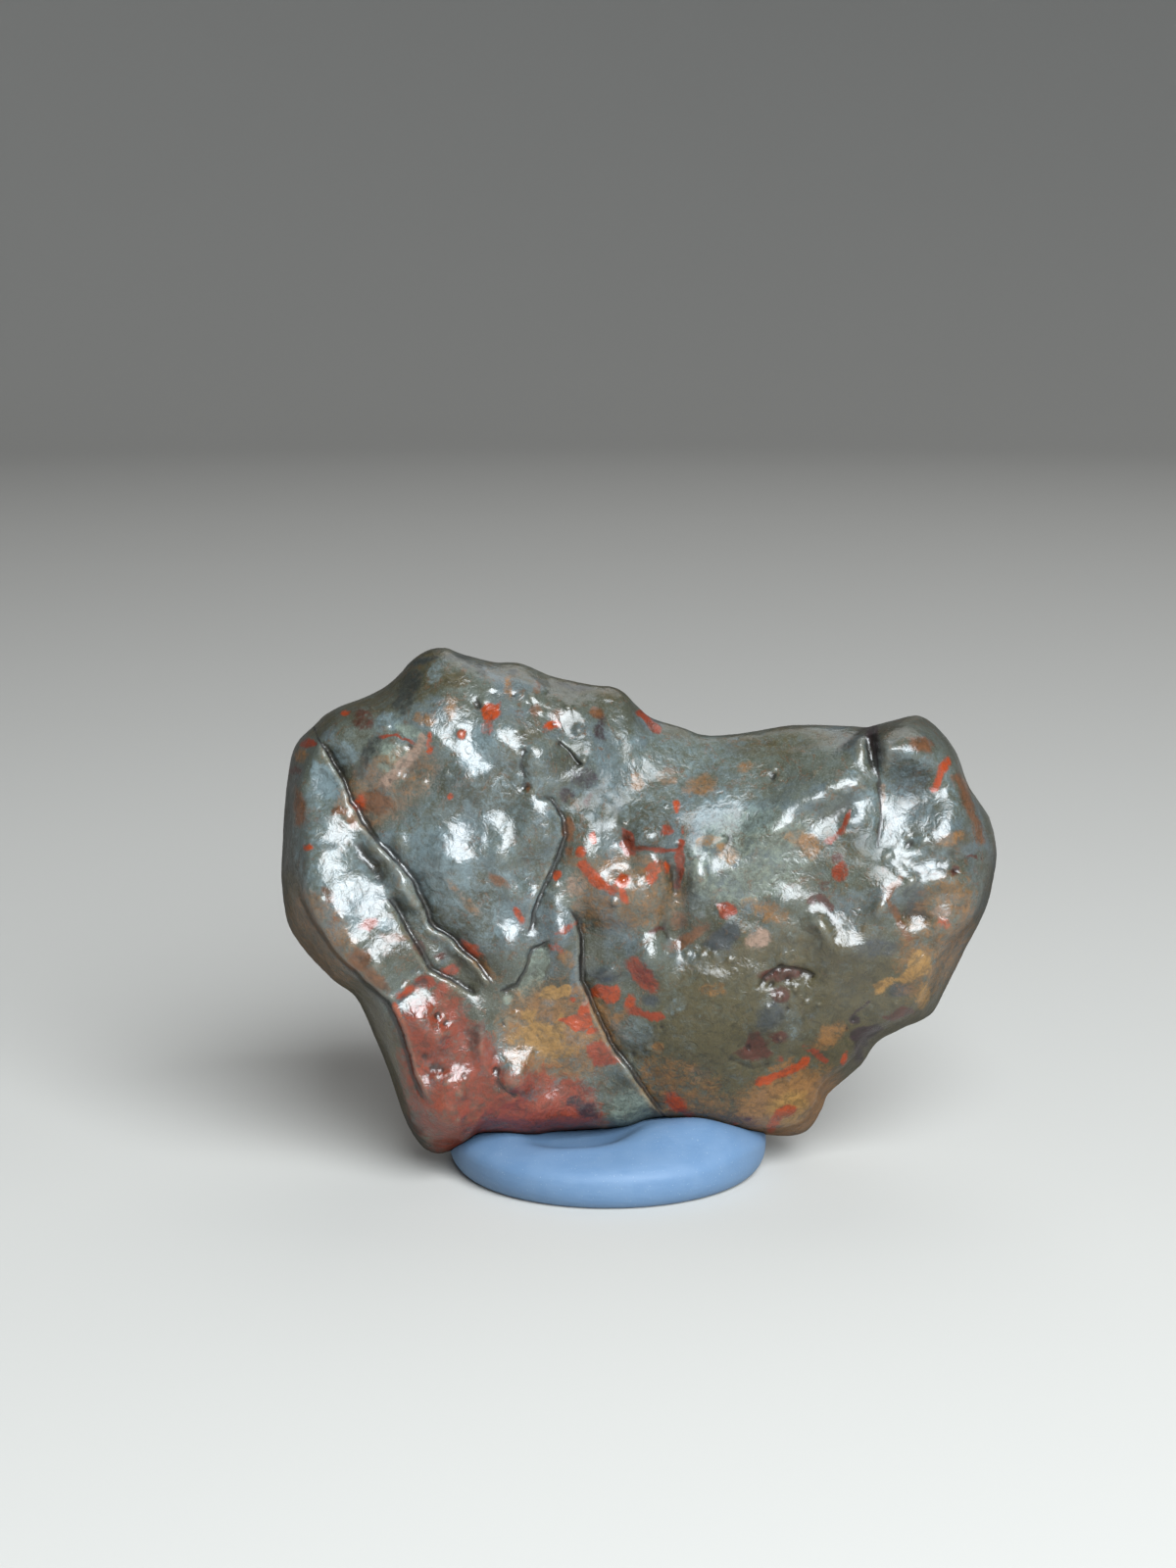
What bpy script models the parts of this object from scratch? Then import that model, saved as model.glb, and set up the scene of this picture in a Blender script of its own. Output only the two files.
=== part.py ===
"""Gobi agate: a wind-polished pebble that stands in a round pad of soft putty.

Two pieces are made, each one closed solid: the stone and the pad. X runs along the
stone, Y from its face to its back and Z up, with the origin on the surface that the pad
lies on, under the middle of the whole. The sizes below are millimetres, and the meshes
are made in metres.
"""

import math
from typing import NamedTuple

import bmesh
import bpy
import numpy as np
from mathutils import Vector, noise
from mathutils.bvhtree import BVHTree

MM = 0.001

# The stone's body. Its outline lies in an upright plane. The face stands out from that
# plane along straight lines that meet at SIGHT, a point in front of and above the stone,
# and the back stands out behind it, falling a little where it is high.
OUTLINE_Y = 0.3
HEART = (-1.0, 22.2)
SIGHT = (-4.33, -254.7, 82.9)
FACE_DEPTH = 10.0
BACK_DEPTH = 11.5
BACK_FALL = 0.19
BACK_FALL_HEIGHTS = (8.0, 30.0)
SPHERE_LEVEL = 8
STONE_TRIANGLES = 8400

# How squarely the body turns round its rim: 2 is round, more is flatter with a tighter
# turn. The face has one value each for its right, top, left and bottom.
FACE_FULLNESS = (5.0, 2.0, 7.0, 12.0)
BACK_FULLNESS = 2.4

# The face gets thinner towards the foot
FOOT_THICKNESS = 0.72
FOOT_HEIGHTS = (1.0, 19.0)

# The outline is followed closely on the rim, and in an evened form from the middle up to
# this share of the way out
EVEN_SPREAD_DEGREES = 14
EVEN_SHARE_OUT = 0.45

# Round the sides the outline's bumps fade with depth, and the skin is worn inwards by
# amounts for the right, top, left and bottom
BUMP_FADE_DEPTHS = (1.5, 8.0)
SIDE_WEAR = (1.4, 2.0, 0.8, 0.2)
SIDE_WEAR_DEPTHS = (1.0, 7.0)
SIDE_WEAR_LENGTH = 7.0
EVEN_WEAR = 0.5
UNEVEN_WEAR = 0.9

# Relief fades out in the last share before the rim, and leaves this share of the depth
RELIEF_EDGE = 0.07
LEAST_DEPTH_SHARE = 0.3

# The skin's broad unevenness: wave length and height of each layer of noise
SKIN_WAVES = ((9.0, 0.50), (4.2, 0.42), (2.1, 0.15))

# Lumps and cracks waver by this much, over this wave length
WANDER = 0.16
WANDER_LENGTH = 2.2

# Where the noise is read, so that the back and each use of it differ
BACK_NOISE = 40.0
SKIN_NOISE = 20.0
WANDER_NOISE = 70.0

# A crack starts and ends over this share of its length, and its ledge has this half width
CRACK_END_SHARE = 0.15
STEP_HALF_WIDTH = 0.25

# The pad: a ball of putty pressed flat, squeezed down wherever the stone stands on it
PAD_CENTRE = (-2.6, 0.0)
PAD_RADIUS = 13.75
PAD_HEIGHT = 5.0
PAD_FLAT_RADIUS = 12.4
PAD_WAIST_HEIGHT = 2.1
PAD_FULLNESS = 2.6
PAD_TOP_ROWS = 10
PAD_UNDER_ROWS = 3
PAD_TURNS = 56
PAD_SWELL = 0.012
PAD_SWELL_TURNS = 1.3
PAD_UNEVEN = 0.16
PAD_UNEVEN_LENGTH = 5.0
PAD_NOISE = 9.0
SEAT_GAP = 0.36
SEAT_REACH = 0.5
LEAST_PAD = 0.25

# Finishes: base colour and roughness
AGATE_FINISH = ((0.16, 0.17, 0.14), 0.25)
PUTTY_FINISH = ((0.13, 0.22, 0.36), 0.6)

OUTLINE = (
    (-17.8, 44.8), (-16.3, 45.0), (-15.0, 44.5), (-12.2, 43.8), (-10.1, 43.7), (-7.4, 42.6),
    (-4.3, 41.9), (-1.8, 41.5), (-0.1, 40.0), (1.1, 39.0), (3.6, 38.2), (5.8, 37.5),
    (9.4, 37.8), (13.1, 38.4), (18.2, 38.3), (19.2, 38.2), (21.5, 38.8), (23.7, 39.2),
    (25.5, 37.9), (26.9, 36.0), (28.0, 33.2), (29.8, 30.4), (30.5, 27.7), (30.3, 25.1),
    (29.7, 22.4), (28.1, 19.0), (26.3, 15.1), (25.1, 13.0), (22.6, 11.8), (20.6, 10.6),
    (19.2, 8.5), (16.6, 6.1), (15.9, 4.5), (14.6, 2.6), (12.3, 2.2), (8.0, 2.8),
    (4.2, 3.5), (2.6, 3.7), (0.8, 3.6), (-1.9, 2.8), (-7.3, 2.5), (-9.4, 2.2),
    (-13.7, 2.4), (-15.4, 1.3), (-17.2, 0.6), (-18.8, 1.3), (-20.2, 3.7), (-21.5, 7.8),
    (-22.9, 11.5), (-24.3, 14.6), (-26.4, 16.3), (-28.7, 18.9), (-30.0, 21.1), (-30.5, 24.4),
    (-30.4, 27.8), (-29.9, 33.3), (-29.2, 36.5), (-27.6, 38.3), (-25.9, 39.7), (-22.5, 41.1),
    (-20.7, 42.3), (-19.2, 43.9),
)


class Lump(NamedTuple):
    """A swelling, or a hollow where the height is negative, centred at (x, z).

    along and across are the half sizes at which a third of the height is left, turn is
    the angle in degrees from +X to the long way, and firm is 1 for a soft hill and more
    for a flat top with steep sides.
    """

    x: float
    z: float
    along: float
    across: float
    turn: float
    height: float
    firm: float = 1.0


class Crack(NamedTuple):
    """A groove along a line of (x, z) points, or a ridge where the depth is negative.

    A drop lets the surface fall away towards the line from its left side, seen along the
    line, or from its right side where the drop is negative. It fades out over the reach.
    """

    points: tuple
    width: float
    depth: float
    drop: float = 0.0
    reach: float = 1.0


# How far the rim bends forwards out of the upright plane, or back where negative
RIM_BENDS = (
    Lump(-19.0, 4.0, 10.0, 9.0, 0, 2.4),
    Lump(-25.0, 33.0, 10.0, 9.0, 0, -1.6),
    Lump(-4.0, 42.0, 11.0, 8.0, 0, 1.6),
    Lump(24.0, 36.0, 10.0, 9.0, 0, -2.0),
    Lump(28.0, 18.0, 10.0, 9.0, 0, 1.8),
    Lump(12.0, 2.0, 10.0, 8.0, 0, -1.4),
)

# The hollow pressed in the pad's top before the stone, and the lip squeezed up beside it,
# both placed by (x, y)
PAD_LUMPS = (
    Lump(-5.0, -5.8, 4.8, 3.6, 0, -1.1, 2.5),
    Lump(-5.0, -10.2, 5.0, 1.2, 0, 0.15),
    Lump(4.4, -6.8, 5.4, 3.0, 15, 1.2),
)

# Where the face is thinner or thicker, as a share of its depth
THINNED = (
    Lump(8.5, 38.0, 9.0, 7.0, 0, -0.42),
    Lump(-9.0, 43.0, 11.0, 6.0, -12, -0.25),
    Lump(23.6, 37.8, 4.4, 2.8, -20, 0.8),
    Lump(27.4, 30.5, 3.0, 4.5, 0, 0.25),
)

FACE_LUMPS = (
    # the left plate, the strip beside it and the lobe below them
    Lump(-27.6, 17.2, 11.0, 8.0, 105, 2.8),
    Lump(-26.2, 21.6, 4.4, 3.0, 115, 0.9),
    Lump(-28.2, 27.2, 3.6, 2.8, 80, 1.0),
    Lump(-26.4, 34.0, 2.4, 1.6, 65, -0.9),
    Lump(-22.6, 26.2, 2.3, 0.8, -48, -0.8),
    Lump(-22.2, 16.2, 2.3, 1.7, 95, 1.1),
    Lump(-24.6, 19.0, 1.4, 1.0, 40, 0.5),
    Lump(-20.4, 24.4, 2.2, 0.8, -55, 0.8),
    Lump(-16.2, 18.6, 3.2, 1.2, -50, -0.7),
    Lump(-18.6, 12.2, 2.4, 1.6, 110, 1.3),
    Lump(-16.8, 11.2, 1.3, 0.9, 60, 0.7),
    Lump(-17.2, 8.2, 1.8, 1.0, 10, -0.5),
    Lump(-16.4, 4.9, 2.6, 1.7, 60, 1.2),
    Lump(-13.5, 10.6, 3.0, 0.8, 95, 0.8),
    Lump(-10.6, 7.2, 2.2, 1.8, 75, 1.5, 1.2),
    Lump(-8.0, 5.0, 2.4, 1.2, 30, 0.5),
    Lump(-8.0, 1.0, 9.0, 4.0, 0, 1.0),
    Lump(-20.0, 4.0, 7.0, 5.0, 100, 1.0),
    # the crown and the middle mass
    Lump(-18.0, 37.5, 5.0, 4.0, 40, 0.5),
    Lump(-22.0, 35.4, 2.0, 1.2, 40, 0.5),
    Lump(-19.3, 34.6, 1.6, 0.7, 45, -0.4),
    Lump(-16.4, 26.2, 3.6, 2.8, 110, 1.9),
    Lump(-22.0, 28.6, 1.6, 1.0, 100, 0.9),
    Lump(-20.4, 28.2, 1.6, 0.8, 100, 0.7),
    Lump(-16.6, 32.0, 1.6, 1.2, 20, 0.6),
    Lump(-14.3, 33.8, 2.2, 1.7, 120, 1.1),
    Lump(-12.0, 37.6, 1.8, 1.4, 60, 0.7),
    Lump(-8.4, 36.0, 1.5, 1.8, 90, 0.8),
    Lump(-11.6, 27.4, 2.4, 1.7, 70, 1.3),
    Lump(-10.6, 24.0, 1.8, 1.3, 120, 0.7),
    Lump(-13.4, 20.2, 2.4, 1.3, 95, 0.6),
    Lump(-11.2, 18.8, 2.2, 1.3, 100, 0.8),
    Lump(-8.6, 29.2, 2.4, 1.5, 95, 0.7, 2.0),
    Lump(-6.6, 20.0, 4.0, 1.4, 95, 0.9),
    Lump(-5.0, 39.6, 2.2, 1.3, 150, 0.8),
    Lump(-4.2, 36.6, 1.6, 1.3, 100, 0.7),
    Lump(-5.0, 32.6, 1.8, 1.5, 60, -0.6),
    Lump(-4.2, 26.6, 2.2, 1.4, 110, 0.5),
    # the middle plate and the lumps round it
    Lump(-1.4, 23.2, 3.0, 2.6, 0, 0.9, 2.0),
    Lump(1.0, 28.9, 2.2, 1.8, 75, 1.5),
    Lump(0.4, 37.4, 2.6, 2.2, 75, 1.0),
    Lump(-2.6, 30.8, 1.4, 1.2, 0, -0.4),
    Lump(0.8, 17.8, 2.2, 1.7, 110, 1.3),
    Lump(-2.6, 16.9, 0.9, 0.6, 20, 0.4),
    Lump(3.6, 24.4, 3.0, 0.9, 92, -0.9),
    Lump(3.6, 19.8, 1.8, 1.0, 80, -0.7),
    Lump(5.3, 25.4, 1.6, 1.0, 100, 0.6),
    Lump(6.4, 28.2, 1.1, 0.7, 60, 0.5),
    Lump(7.4, 21.0, 1.4, 1.0, 60, 0.3),
    # the right half: saddle, slanting ridge, knob, bands and the big lower dome
    Lump(12.0, 30.2, 4.2, 1.6, 52, 1.3),
    Lump(6.6, 28.4, 3.6, 2.2, 20, -0.6),
    Lump(15.2, 32.2, 1.7, 1.2, 20, 0.7),
    Lump(17.7, 33.4, 1.9, 1.3, 0, 1.0, 1.4),
    Lump(18.9, 30.6, 1.6, 1.1, 60, 0.3),
    Lump(23.0, 38.0, 4.0, 3.4, 0, 0.9),
    Lump(23.7, 36.9, 1.2, 0.9, 0, -0.5),
    Lump(20.9, 35.6, 1.7, 0.9, 80, 0.5),
    Lump(23.2, 32.6, 3.0, 2.4, 0, -0.45),
    Lump(24.6, 28.0, 3.4, 1.6, 8, 0.3),
    Lump(24.4, 26.4, 3.6, 1.2, 5, -0.4),
    Lump(25.2, 24.9, 3.0, 1.2, 2, 0.6),
    Lump(20.9, 22.4, 1.3, 1.0, 60, 0.8),
    Lump(23.8, 22.0, 1.8, 1.1, 0, -0.7),
    Lump(26.4, 20.6, 1.6, 1.2, 60, 0.5),
    Lump(15.6, 20.9, 1.7, 0.8, -55, 0.9),
    Lump(12.4, 23.0, 1.8, 1.2, 10, 0.6),
    Lump(17.9, 18.8, 1.7, 1.0, 10, 0.5),
    Lump(9.4, 20.6, 2.0, 1.4, 0, 0.3),
    Lump(6.0, 10.4, 6.6, 5.2, 20, 1.6),
    Lump(9.8, 10.3, 1.7, 1.1, 0, -0.6),
    Lump(12.4, 15.6, 2.4, 1.4, 10, -0.4),
    Lump(20.4, 14.9, 4.0, 2.4, 40, -1.1),
    Lump(24.0, 17.4, 1.6, 1.2, 40, 0.5),
    Lump(13.4, 4.6, 3.0, 2.0, 20, 0.9),
    Lump(-0.8, 7.8, 1.6, 1.2, -60, 0.5),
    # the cleft in the top edge beside the knob
    Lump(19.7, 36.9, 2.0, 0.65, 98, -1.5, 1.3),
)

FACE_CRACKS = (
    # two cracks that part the left plate, a long strip and the middle mass
    Crack(
        (
            (-28.4, 39.4), (-27.5, 38.2), (-26.9, 36.5), (-26.0, 35.2), (-25.1, 33.8),
            (-24.6, 31.8), (-23.4, 29.8), (-22.2, 28.2), (-20.7, 26.4), (-19.4, 24.9),
            (-18.5, 23.0), (-17.9, 21.3), (-15.9, 19.6), (-14.0, 17.9), (-12.7, 15.9),
            (-12.2, 15.2),
        ),
        0.35, 0.60, 1.2, 1.6,
    ),
    Crack(
        (
            (-21.8, 23.8), (-20.8, 22.3), (-19.9, 20.6), (-18.9, 18.8), (-18.0, 17.2),
            (-16.8, 16.5), (-15.2, 15.5), (-13.6, 14.6),
        ),
        0.30, 0.55, 0.9, 1.3,
    ),
    # folded ridges on the strip, and the fold across the lobe
    Crack(
        ((-23.8, 28.0), (-22.0, 27.3), (-20.4, 25.9), (-19.7, 24.2), (-18.8, 21.8)),
        0.50, -0.55,
    ),
    Crack(((-18.5, 20.9), (-16.0, 19.0), (-13.9, 17.2), (-12.6, 15.4)), 0.30, -0.35),
    Crack(((-21.8, 14.4), (-21.0, 14.4), (-19.8, 15.5), (-18.4, 16.9)), 0.30, -0.30, -0.3, 0.8),
    # where the face turns into the left flank
    Crack(
        (
            (-29.5, 25.0), (-28.3, 22.0), (-26.5, 19.2), (-23.5, 16.0), (-21.5, 14.2),
            (-20.3, 11.2), (-19.3, 7.5), (-18.0, 4.5),
        ),
        0.8, -0.4, -1.8, 2.2,
    ),
    # the shell-like plate edge, and the flake scar under it
    Crack(
        (
            (-9.2, 32.2), (-7.6, 31.9), (-6.6, 30.5), (-6.4, 28.9), (-7.0, 27.0),
            (-7.7, 25.6), (-8.6, 23.5), (-9.2, 21.5), (-9.6, 20.0),
        ),
        0.25, 0.25, 0.7, 1.2,
    ),
    Crack(
        ((-7.4, 19.7), (-9.2, 18.8), (-10.0, 16.8), (-10.5, 15.8), (-12.2, 15.2)),
        0.20, 0.25, 0.5, 1.0,
    ),
    # the long crack down the middle
    Crack(
        (
            (-6.2, 22.9), (-5.3, 21.4), (-5.0, 20.0), (-4.9, 16.2), (-4.2, 14.5),
            (-3.3, 12.4), (-2.4, 10.3), (-1.0, 8.5), (0.1, 6.9), (1.4, 5.0), (2.7, 3.5), (3.6, 2.4),
        ),
        0.30, 0.50, 1.4, 2.4,
    ),
    # the cornered groove round the middle plate, and the crack below it
    Crack(
        (
            (-2.0, 30.0), (-1.3, 28.4), (-0.6, 27.4), (1.2, 27.5), (2.3, 27.2), (2.8, 25.8),
            (3.0, 24.0), (2.4, 22.0), (2.2, 20.8), (3.0, 18.7),
        ),
        0.55, 0.75,
    ),
    # the fissure near the crown, and the ledge beside it
    Crack(((-9.7, 36.6), (-10.0, 35.0), (-9.6, 33.9), (-10.0, 32.4)), 0.35, -0.45),
    Crack(((-7.0, 37.2), (-5.9, 36.2), (-4.8, 34.9)), 0.30, 0.20, -0.4, 0.8),
    # the thin crack below the cleft, and the crossing folds right of it
    Crack(((19.6, 39.4), (20.1, 36.0), (20.4, 33.6), (20.6, 30.4), (20.4, 27.6)), 0.30, 0.50),
    Crack(((20.9, 27.4), (22.2, 26.0), (23.7, 24.7)), 0.35, -0.45),
    Crack(((22.4, 28.2), (24.4, 27.6), (27.4, 27.6)), 0.45, 0.45),
    # the arch over the crust, and the ledge under the dark scar
    Crack(
        ((10.0, 15.4), (10.8, 16.6), (12.2, 17.6), (14.2, 17.1), (15.4, 16.4)),
        0.30, 0.35, -0.5, 0.9,
    ),
    Crack(((7.5, 9.4), (8.6, 8.9), (10.0, 8.5), (11.6, 9.0)), 0.30, 0.30, -0.5, 0.9),
    # the crescent round the foot of the round lump
    Crack(((-12.3, 8.6), (-12.0, 7.0), (-11.3, 6.1), (-10.2, 5.7)), 0.40, 0.50),
)

BACK_LUMPS = (
    Lump(-13.0, 30.0, 8.0, 5.5, 25, -1.3, 1.4),
    Lump(11.0, 26.5, 8.0, 5.0, 160, 1.4),
    Lump(-4.0, 16.0, 7.0, 4.0, 20, 1.0),
    Lump(-22.5, 22.0, 4.5, 3.5, 110, 0.9),
    Lump(3.5, 32.0, 4.0, 3.0, 60, -0.8),
    Lump(20.0, 17.5, 5.0, 3.4, 55, -0.9),
    Lump(23.5, 30.0, 3.6, 2.8, 100, 0.8),
    Lump(-16.0, 9.0, 3.6, 2.2, 100, 0.7),
    Lump(9.0, 10.5, 4.6, 3.2, 10, 0.8),
    Lump(-18.0, 38.0, 3.6, 2.6, 45, 0.7),
    Lump(-7.5, 38.0, 2.8, 1.8, 150, -0.5),
    Lump(15.5, 33.5, 2.4, 1.8, 20, 0.6),
    Lump(-10.5, 22.5, 2.6, 1.7, 70, 0.6),
    Lump(1.5, 24.0, 2.4, 1.8, 120, -0.6),
    Lump(16.5, 10.8, 2.4, 1.6, 30, 0.5),
)

BACK_CRACKS = (
    Crack(
        (
            (-28.6, 39.6), (-25.8, 36.4), (-21.0, 34.0), (-15.4, 33.0), (-9.8, 30.0),
            (-5.0, 27.5), (-2.6, 23.6), (0.8, 20.2),
        ),
        0.40, 0.60, 0.6, 1.6,
    ),
    Crack(
        ((19.3, 39.6), (17.6, 34.0), (18.0, 29.0), (15.4, 24.0), (15.0, 20.4)),
        0.35, 0.50, -0.5, 1.6,
    ),
    Crack(
        ((-21.0, 16.8), (-15.6, 15.2), (-10.0, 11.6), (-4.6, 11.0), (-0.6, 7.8)),
        0.35, 0.45, 0.6, 1.8,
    ),
    Crack(((4.0, 15.4), (8.4, 16.8), (13.0, 15.6), (17.0, 16.0)), 0.30, 0.35, -0.4, 1.2),
)


def clear_scene():
    """Removes whatever the scene holds."""
    for item in list(bpy.context.scene.objects):
        bpy.data.objects.remove(item, do_unlink=True)


def ease(low, high, value):
    """0 below low, 1 above high and a smooth step between them."""
    share = np.clip((value - low) / (high - low), 0.0, 1.0)
    return share * share * (3.0 - 2.0 * share)


def outline_reach():
    """The distance from HEART to the outline, at 720 angles, and the same evened out."""
    points = np.array(OUTLINE)
    before, after, beyond = (np.roll(points, shift, axis=0) for shift in (1, -1, -2))
    curve = []
    for share in np.linspace(0.0, 1.0, 24, endpoint=False):
        tangent_in = (after - before) / 2.0
        tangent_out = (beyond - points) / 2.0
        cube, square = share ** 3, share ** 2
        curve.append(
            (2 * cube - 3 * square + 1) * points
            + (cube - 2 * square + share) * tangent_in
            + (3 * square - 2 * cube) * after
            + (cube - square) * tangent_out
        )
    curve = np.concatenate(curve) - np.array(HEART)
    angles = np.arctan2(curve[:, 1], curve[:, 0])
    reach = np.hypot(curve[:, 0], curve[:, 1])
    order = np.argsort(angles)
    every_angle = np.radians(np.arange(-180.0, 180.0, 0.5))
    exact = np.interp(every_angle, angles[order], reach[order], period=2 * math.pi)
    window = 2 * EVEN_SPREAD_DEGREES
    weights = np.hanning(2 * window + 1)
    wrapped = np.concatenate((exact[-window:], exact, exact[:window]))
    even = np.convolve(wrapped, weights / weights.sum(), mode="valid")
    return every_angle, exact, even


def lump_height(lump, x, z):
    """The height that one lump adds at each point."""
    cos, sin = math.cos(math.radians(lump.turn)), math.sin(math.radians(lump.turn))
    along = ((x - lump.x) * cos + (z - lump.z) * sin) / lump.along
    across = ((z - lump.z) * cos - (x - lump.x) * sin) / lump.across
    return lump.height * np.exp(-((along ** 2 + across ** 2) ** lump.firm))


def crack_height(crack, x, z):
    """The height that one crack or ridge adds at each point."""
    nearest = np.full(x.shape, np.inf)
    on_left = np.zeros(x.shape, dtype=bool)
    travelled = np.zeros(x.shape)
    length = 0.0
    for (x0, z0), (x1, z1) in zip(crack.points, crack.points[1:]):
        run, rise = x1 - x0, z1 - z0
        step = math.hypot(run, rise)
        share = np.clip(((x - x0) * run + (z - z0) * rise) / step ** 2, 0.0, 1.0)
        distance = np.hypot(x - x0 - share * run, z - z0 - share * rise)
        closer = distance < nearest
        nearest = np.where(closer, distance, nearest)
        on_left = np.where(closer, run * (z - z0) - rise * (x - x0) > 0.0, on_left)
        travelled = np.where(closer, length + share * step, travelled)
        length += step
    share = travelled / length
    fade = ease(0.0, CRACK_END_SHARE, share) * ease(0.0, CRACK_END_SHARE, 1.0 - share)
    height = -crack.depth * np.exp(-((nearest / crack.width) ** 2))
    if crack.drop:
        towards_low = np.where(on_left == (crack.drop > 0.0), nearest, -nearest)
        lowered = ease(-STEP_HALF_WIDTH, STEP_HALF_WIDTH, towards_low)
        height = height - abs(crack.drop) * lowered * np.exp(-nearest / crack.reach)
    return height * fade


def wave(points, length):
    """Smooth noise between about -1 and 1 at each point, with the given wave length."""
    return np.array([noise.noise(Vector(point / length)) for point in points])


def by_quarter(values, angle):
    """Blends four values given at the right, the top, the left and the bottom."""
    turn = np.mod(angle / (math.pi / 2), 4.0)
    before = np.floor(turn).astype(int) % 4
    share = ease(0.0, 1.0, turn - np.floor(turn))
    given = np.array(values)
    return given[before] * (1.0 - share) + given[(before + 1) % 4] * share


def worn_reach(angle, share_out, depth, is_face):
    """How far the body reaches from HEART at each angle, worn inwards round its sides."""
    every_angle, exact, even = outline_reach()
    exact_reach = np.interp(angle, every_angle, exact, period=2 * math.pi)
    even_reach = np.interp(angle, every_angle, even, period=2 * math.pi)
    near_rim = ease(EVEN_SHARE_OUT, 1.0, share_out)
    reach = even_reach + (exact_reach - even_reach) * near_rim
    bumps = np.maximum(exact_reach - even_reach, 0.0)
    reach -= bumps * near_rim * ease(*BUMP_FADE_DEPTHS, depth)
    signed_depth = np.where(is_face, -depth, depth)
    side = np.column_stack((reach * np.cos(angle), signed_depth, reach * np.sin(angle)))
    worn = np.maximum(EVEN_WEAR + UNEVEN_WEAR * wave(side, SIDE_WEAR_LENGTH), 0.0)
    return reach - by_quarter(SIDE_WEAR, angle) * worn * near_rim * ease(*SIDE_WEAR_DEPTHS, depth)


def relief_height(x, z, is_face):
    """The height of the waves, lumps and cracks at each place on the outline's plane."""
    flat = np.column_stack((x, np.where(is_face, 0.0, BACK_NOISE), z))
    bent_x = x + WANDER * wave(flat, WANDER_LENGTH)
    bent_z = z + WANDER * wave(flat + WANDER_NOISE, WANDER_LENGTH)
    relief = sum(height * wave(flat + SKIN_NOISE, length) for length, height in SKIN_WAVES)
    for side, lumps, cracks in (
        (is_face, FACE_LUMPS, FACE_CRACKS),
        (~is_face, BACK_LUMPS, BACK_CRACKS),
    ):
        for lump in lumps:
            relief[side] += lump_height(lump, bent_x[side], bent_z[side])
        for crack in cracks:
            relief[side] += crack_height(crack, bent_x[side], bent_z[side])
    return relief


def stone_points(directions):
    """Turns the directions of a round ball's vertices into the stone's points.

    A direction's angle about Y picks the way out from HEART, and how far it leans
    towards the face or the back says how far inside the outline the point lies.
    """
    angle = np.arctan2(directions[:, 2], directions[:, 0])
    is_face = directions[:, 1] < 0.0
    lean = np.abs(directions[:, 1])
    level = np.sqrt(np.maximum(1.0 - lean ** 2, 0.0))
    fullness = np.where(is_face, by_quarter(FACE_FULLNESS, angle), BACK_FULLNESS)
    size = (level ** fullness + lean ** fullness) ** (-1.0 / fullness)
    share_out = level * size
    depth = np.where(is_face, FACE_DEPTH, BACK_DEPTH) * lean * size
    reach = worn_reach(angle, share_out, depth, is_face)
    x = HEART[0] + share_out * reach * np.cos(angle)
    z = HEART[1] + share_out * reach * np.sin(angle)
    depth *= np.where(is_face, 1.0 + sum(lump_height(lump, x, z) for lump in THINNED), 1.0)
    relief = relief_height(x, z, is_face) * ease(0.0, RELIEF_EDGE, 1.0 - share_out)
    depth = np.maximum(depth + relief, LEAST_DEPTH_SHARE * depth)
    thinned = FOOT_THICKNESS + (1.0 - FOOT_THICKNESS) * ease(*FOOT_HEIGHTS, z)
    depth *= np.where(is_face, thinned, 1.0)

    on_plane = np.column_stack((x, np.full(len(x), OUTLINE_Y), z))
    forward = np.array(SIGHT) - on_plane
    forward /= np.linalg.norm(forward, axis=1)[:, None]
    on_rim = on_plane + sum(lump_height(bend, x, z) for bend in RIM_BENDS)[:, None] * forward
    fall = BACK_FALL * ease(*BACK_FALL_HEIGHTS, z)
    backward = np.column_stack((np.zeros(len(x)), np.ones(len(x)), -fall))
    backward /= np.linalg.norm(backward, axis=1)[:, None]
    return on_rim + depth[:, None] * np.where(is_face[:, None], forward, backward)


def finish(name, mesh_source, color, roughness):
    """Makes an object of a bmesh, smooth shaded, with one material of its own."""
    mesh = bpy.data.meshes.new(name)
    bmesh.ops.recalc_face_normals(mesh_source, faces=mesh_source.faces)
    mesh_source.to_mesh(mesh)
    mesh_source.free()
    mesh.shade_smooth()
    item = bpy.data.objects.new(name, mesh)
    bpy.context.collection.objects.link(item)
    material = bpy.data.materials.new(name)
    material.use_nodes = True
    shader = material.node_tree.nodes["Principled BSDF"]
    shader.inputs["Base Color"].default_value = (*color, 1.0)
    shader.inputs["Roughness"].default_value = roughness
    shader.inputs["Metallic"].default_value = 0.0
    mesh.materials.append(material)
    return item


def make_stone():
    """The pebble: a fine ball drawn out to the stone's form, then thinned."""
    ball = bmesh.new()
    bmesh.ops.create_icosphere(ball, subdivisions=SPHERE_LEVEL, radius=1.0)
    directions = np.array([vertex.co.normalized() for vertex in ball.verts])
    for vertex, point in zip(ball.verts, stone_points(directions)):
        vertex.co = Vector(point) * MM
    all_triangles = len(ball.faces)
    stone = finish("agate", ball, *AGATE_FINISH)
    thinned = stone.modifiers.new("thinned", "DECIMATE")
    thinned.ratio = STONE_TRIANGLES / all_triangles
    return stone


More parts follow.
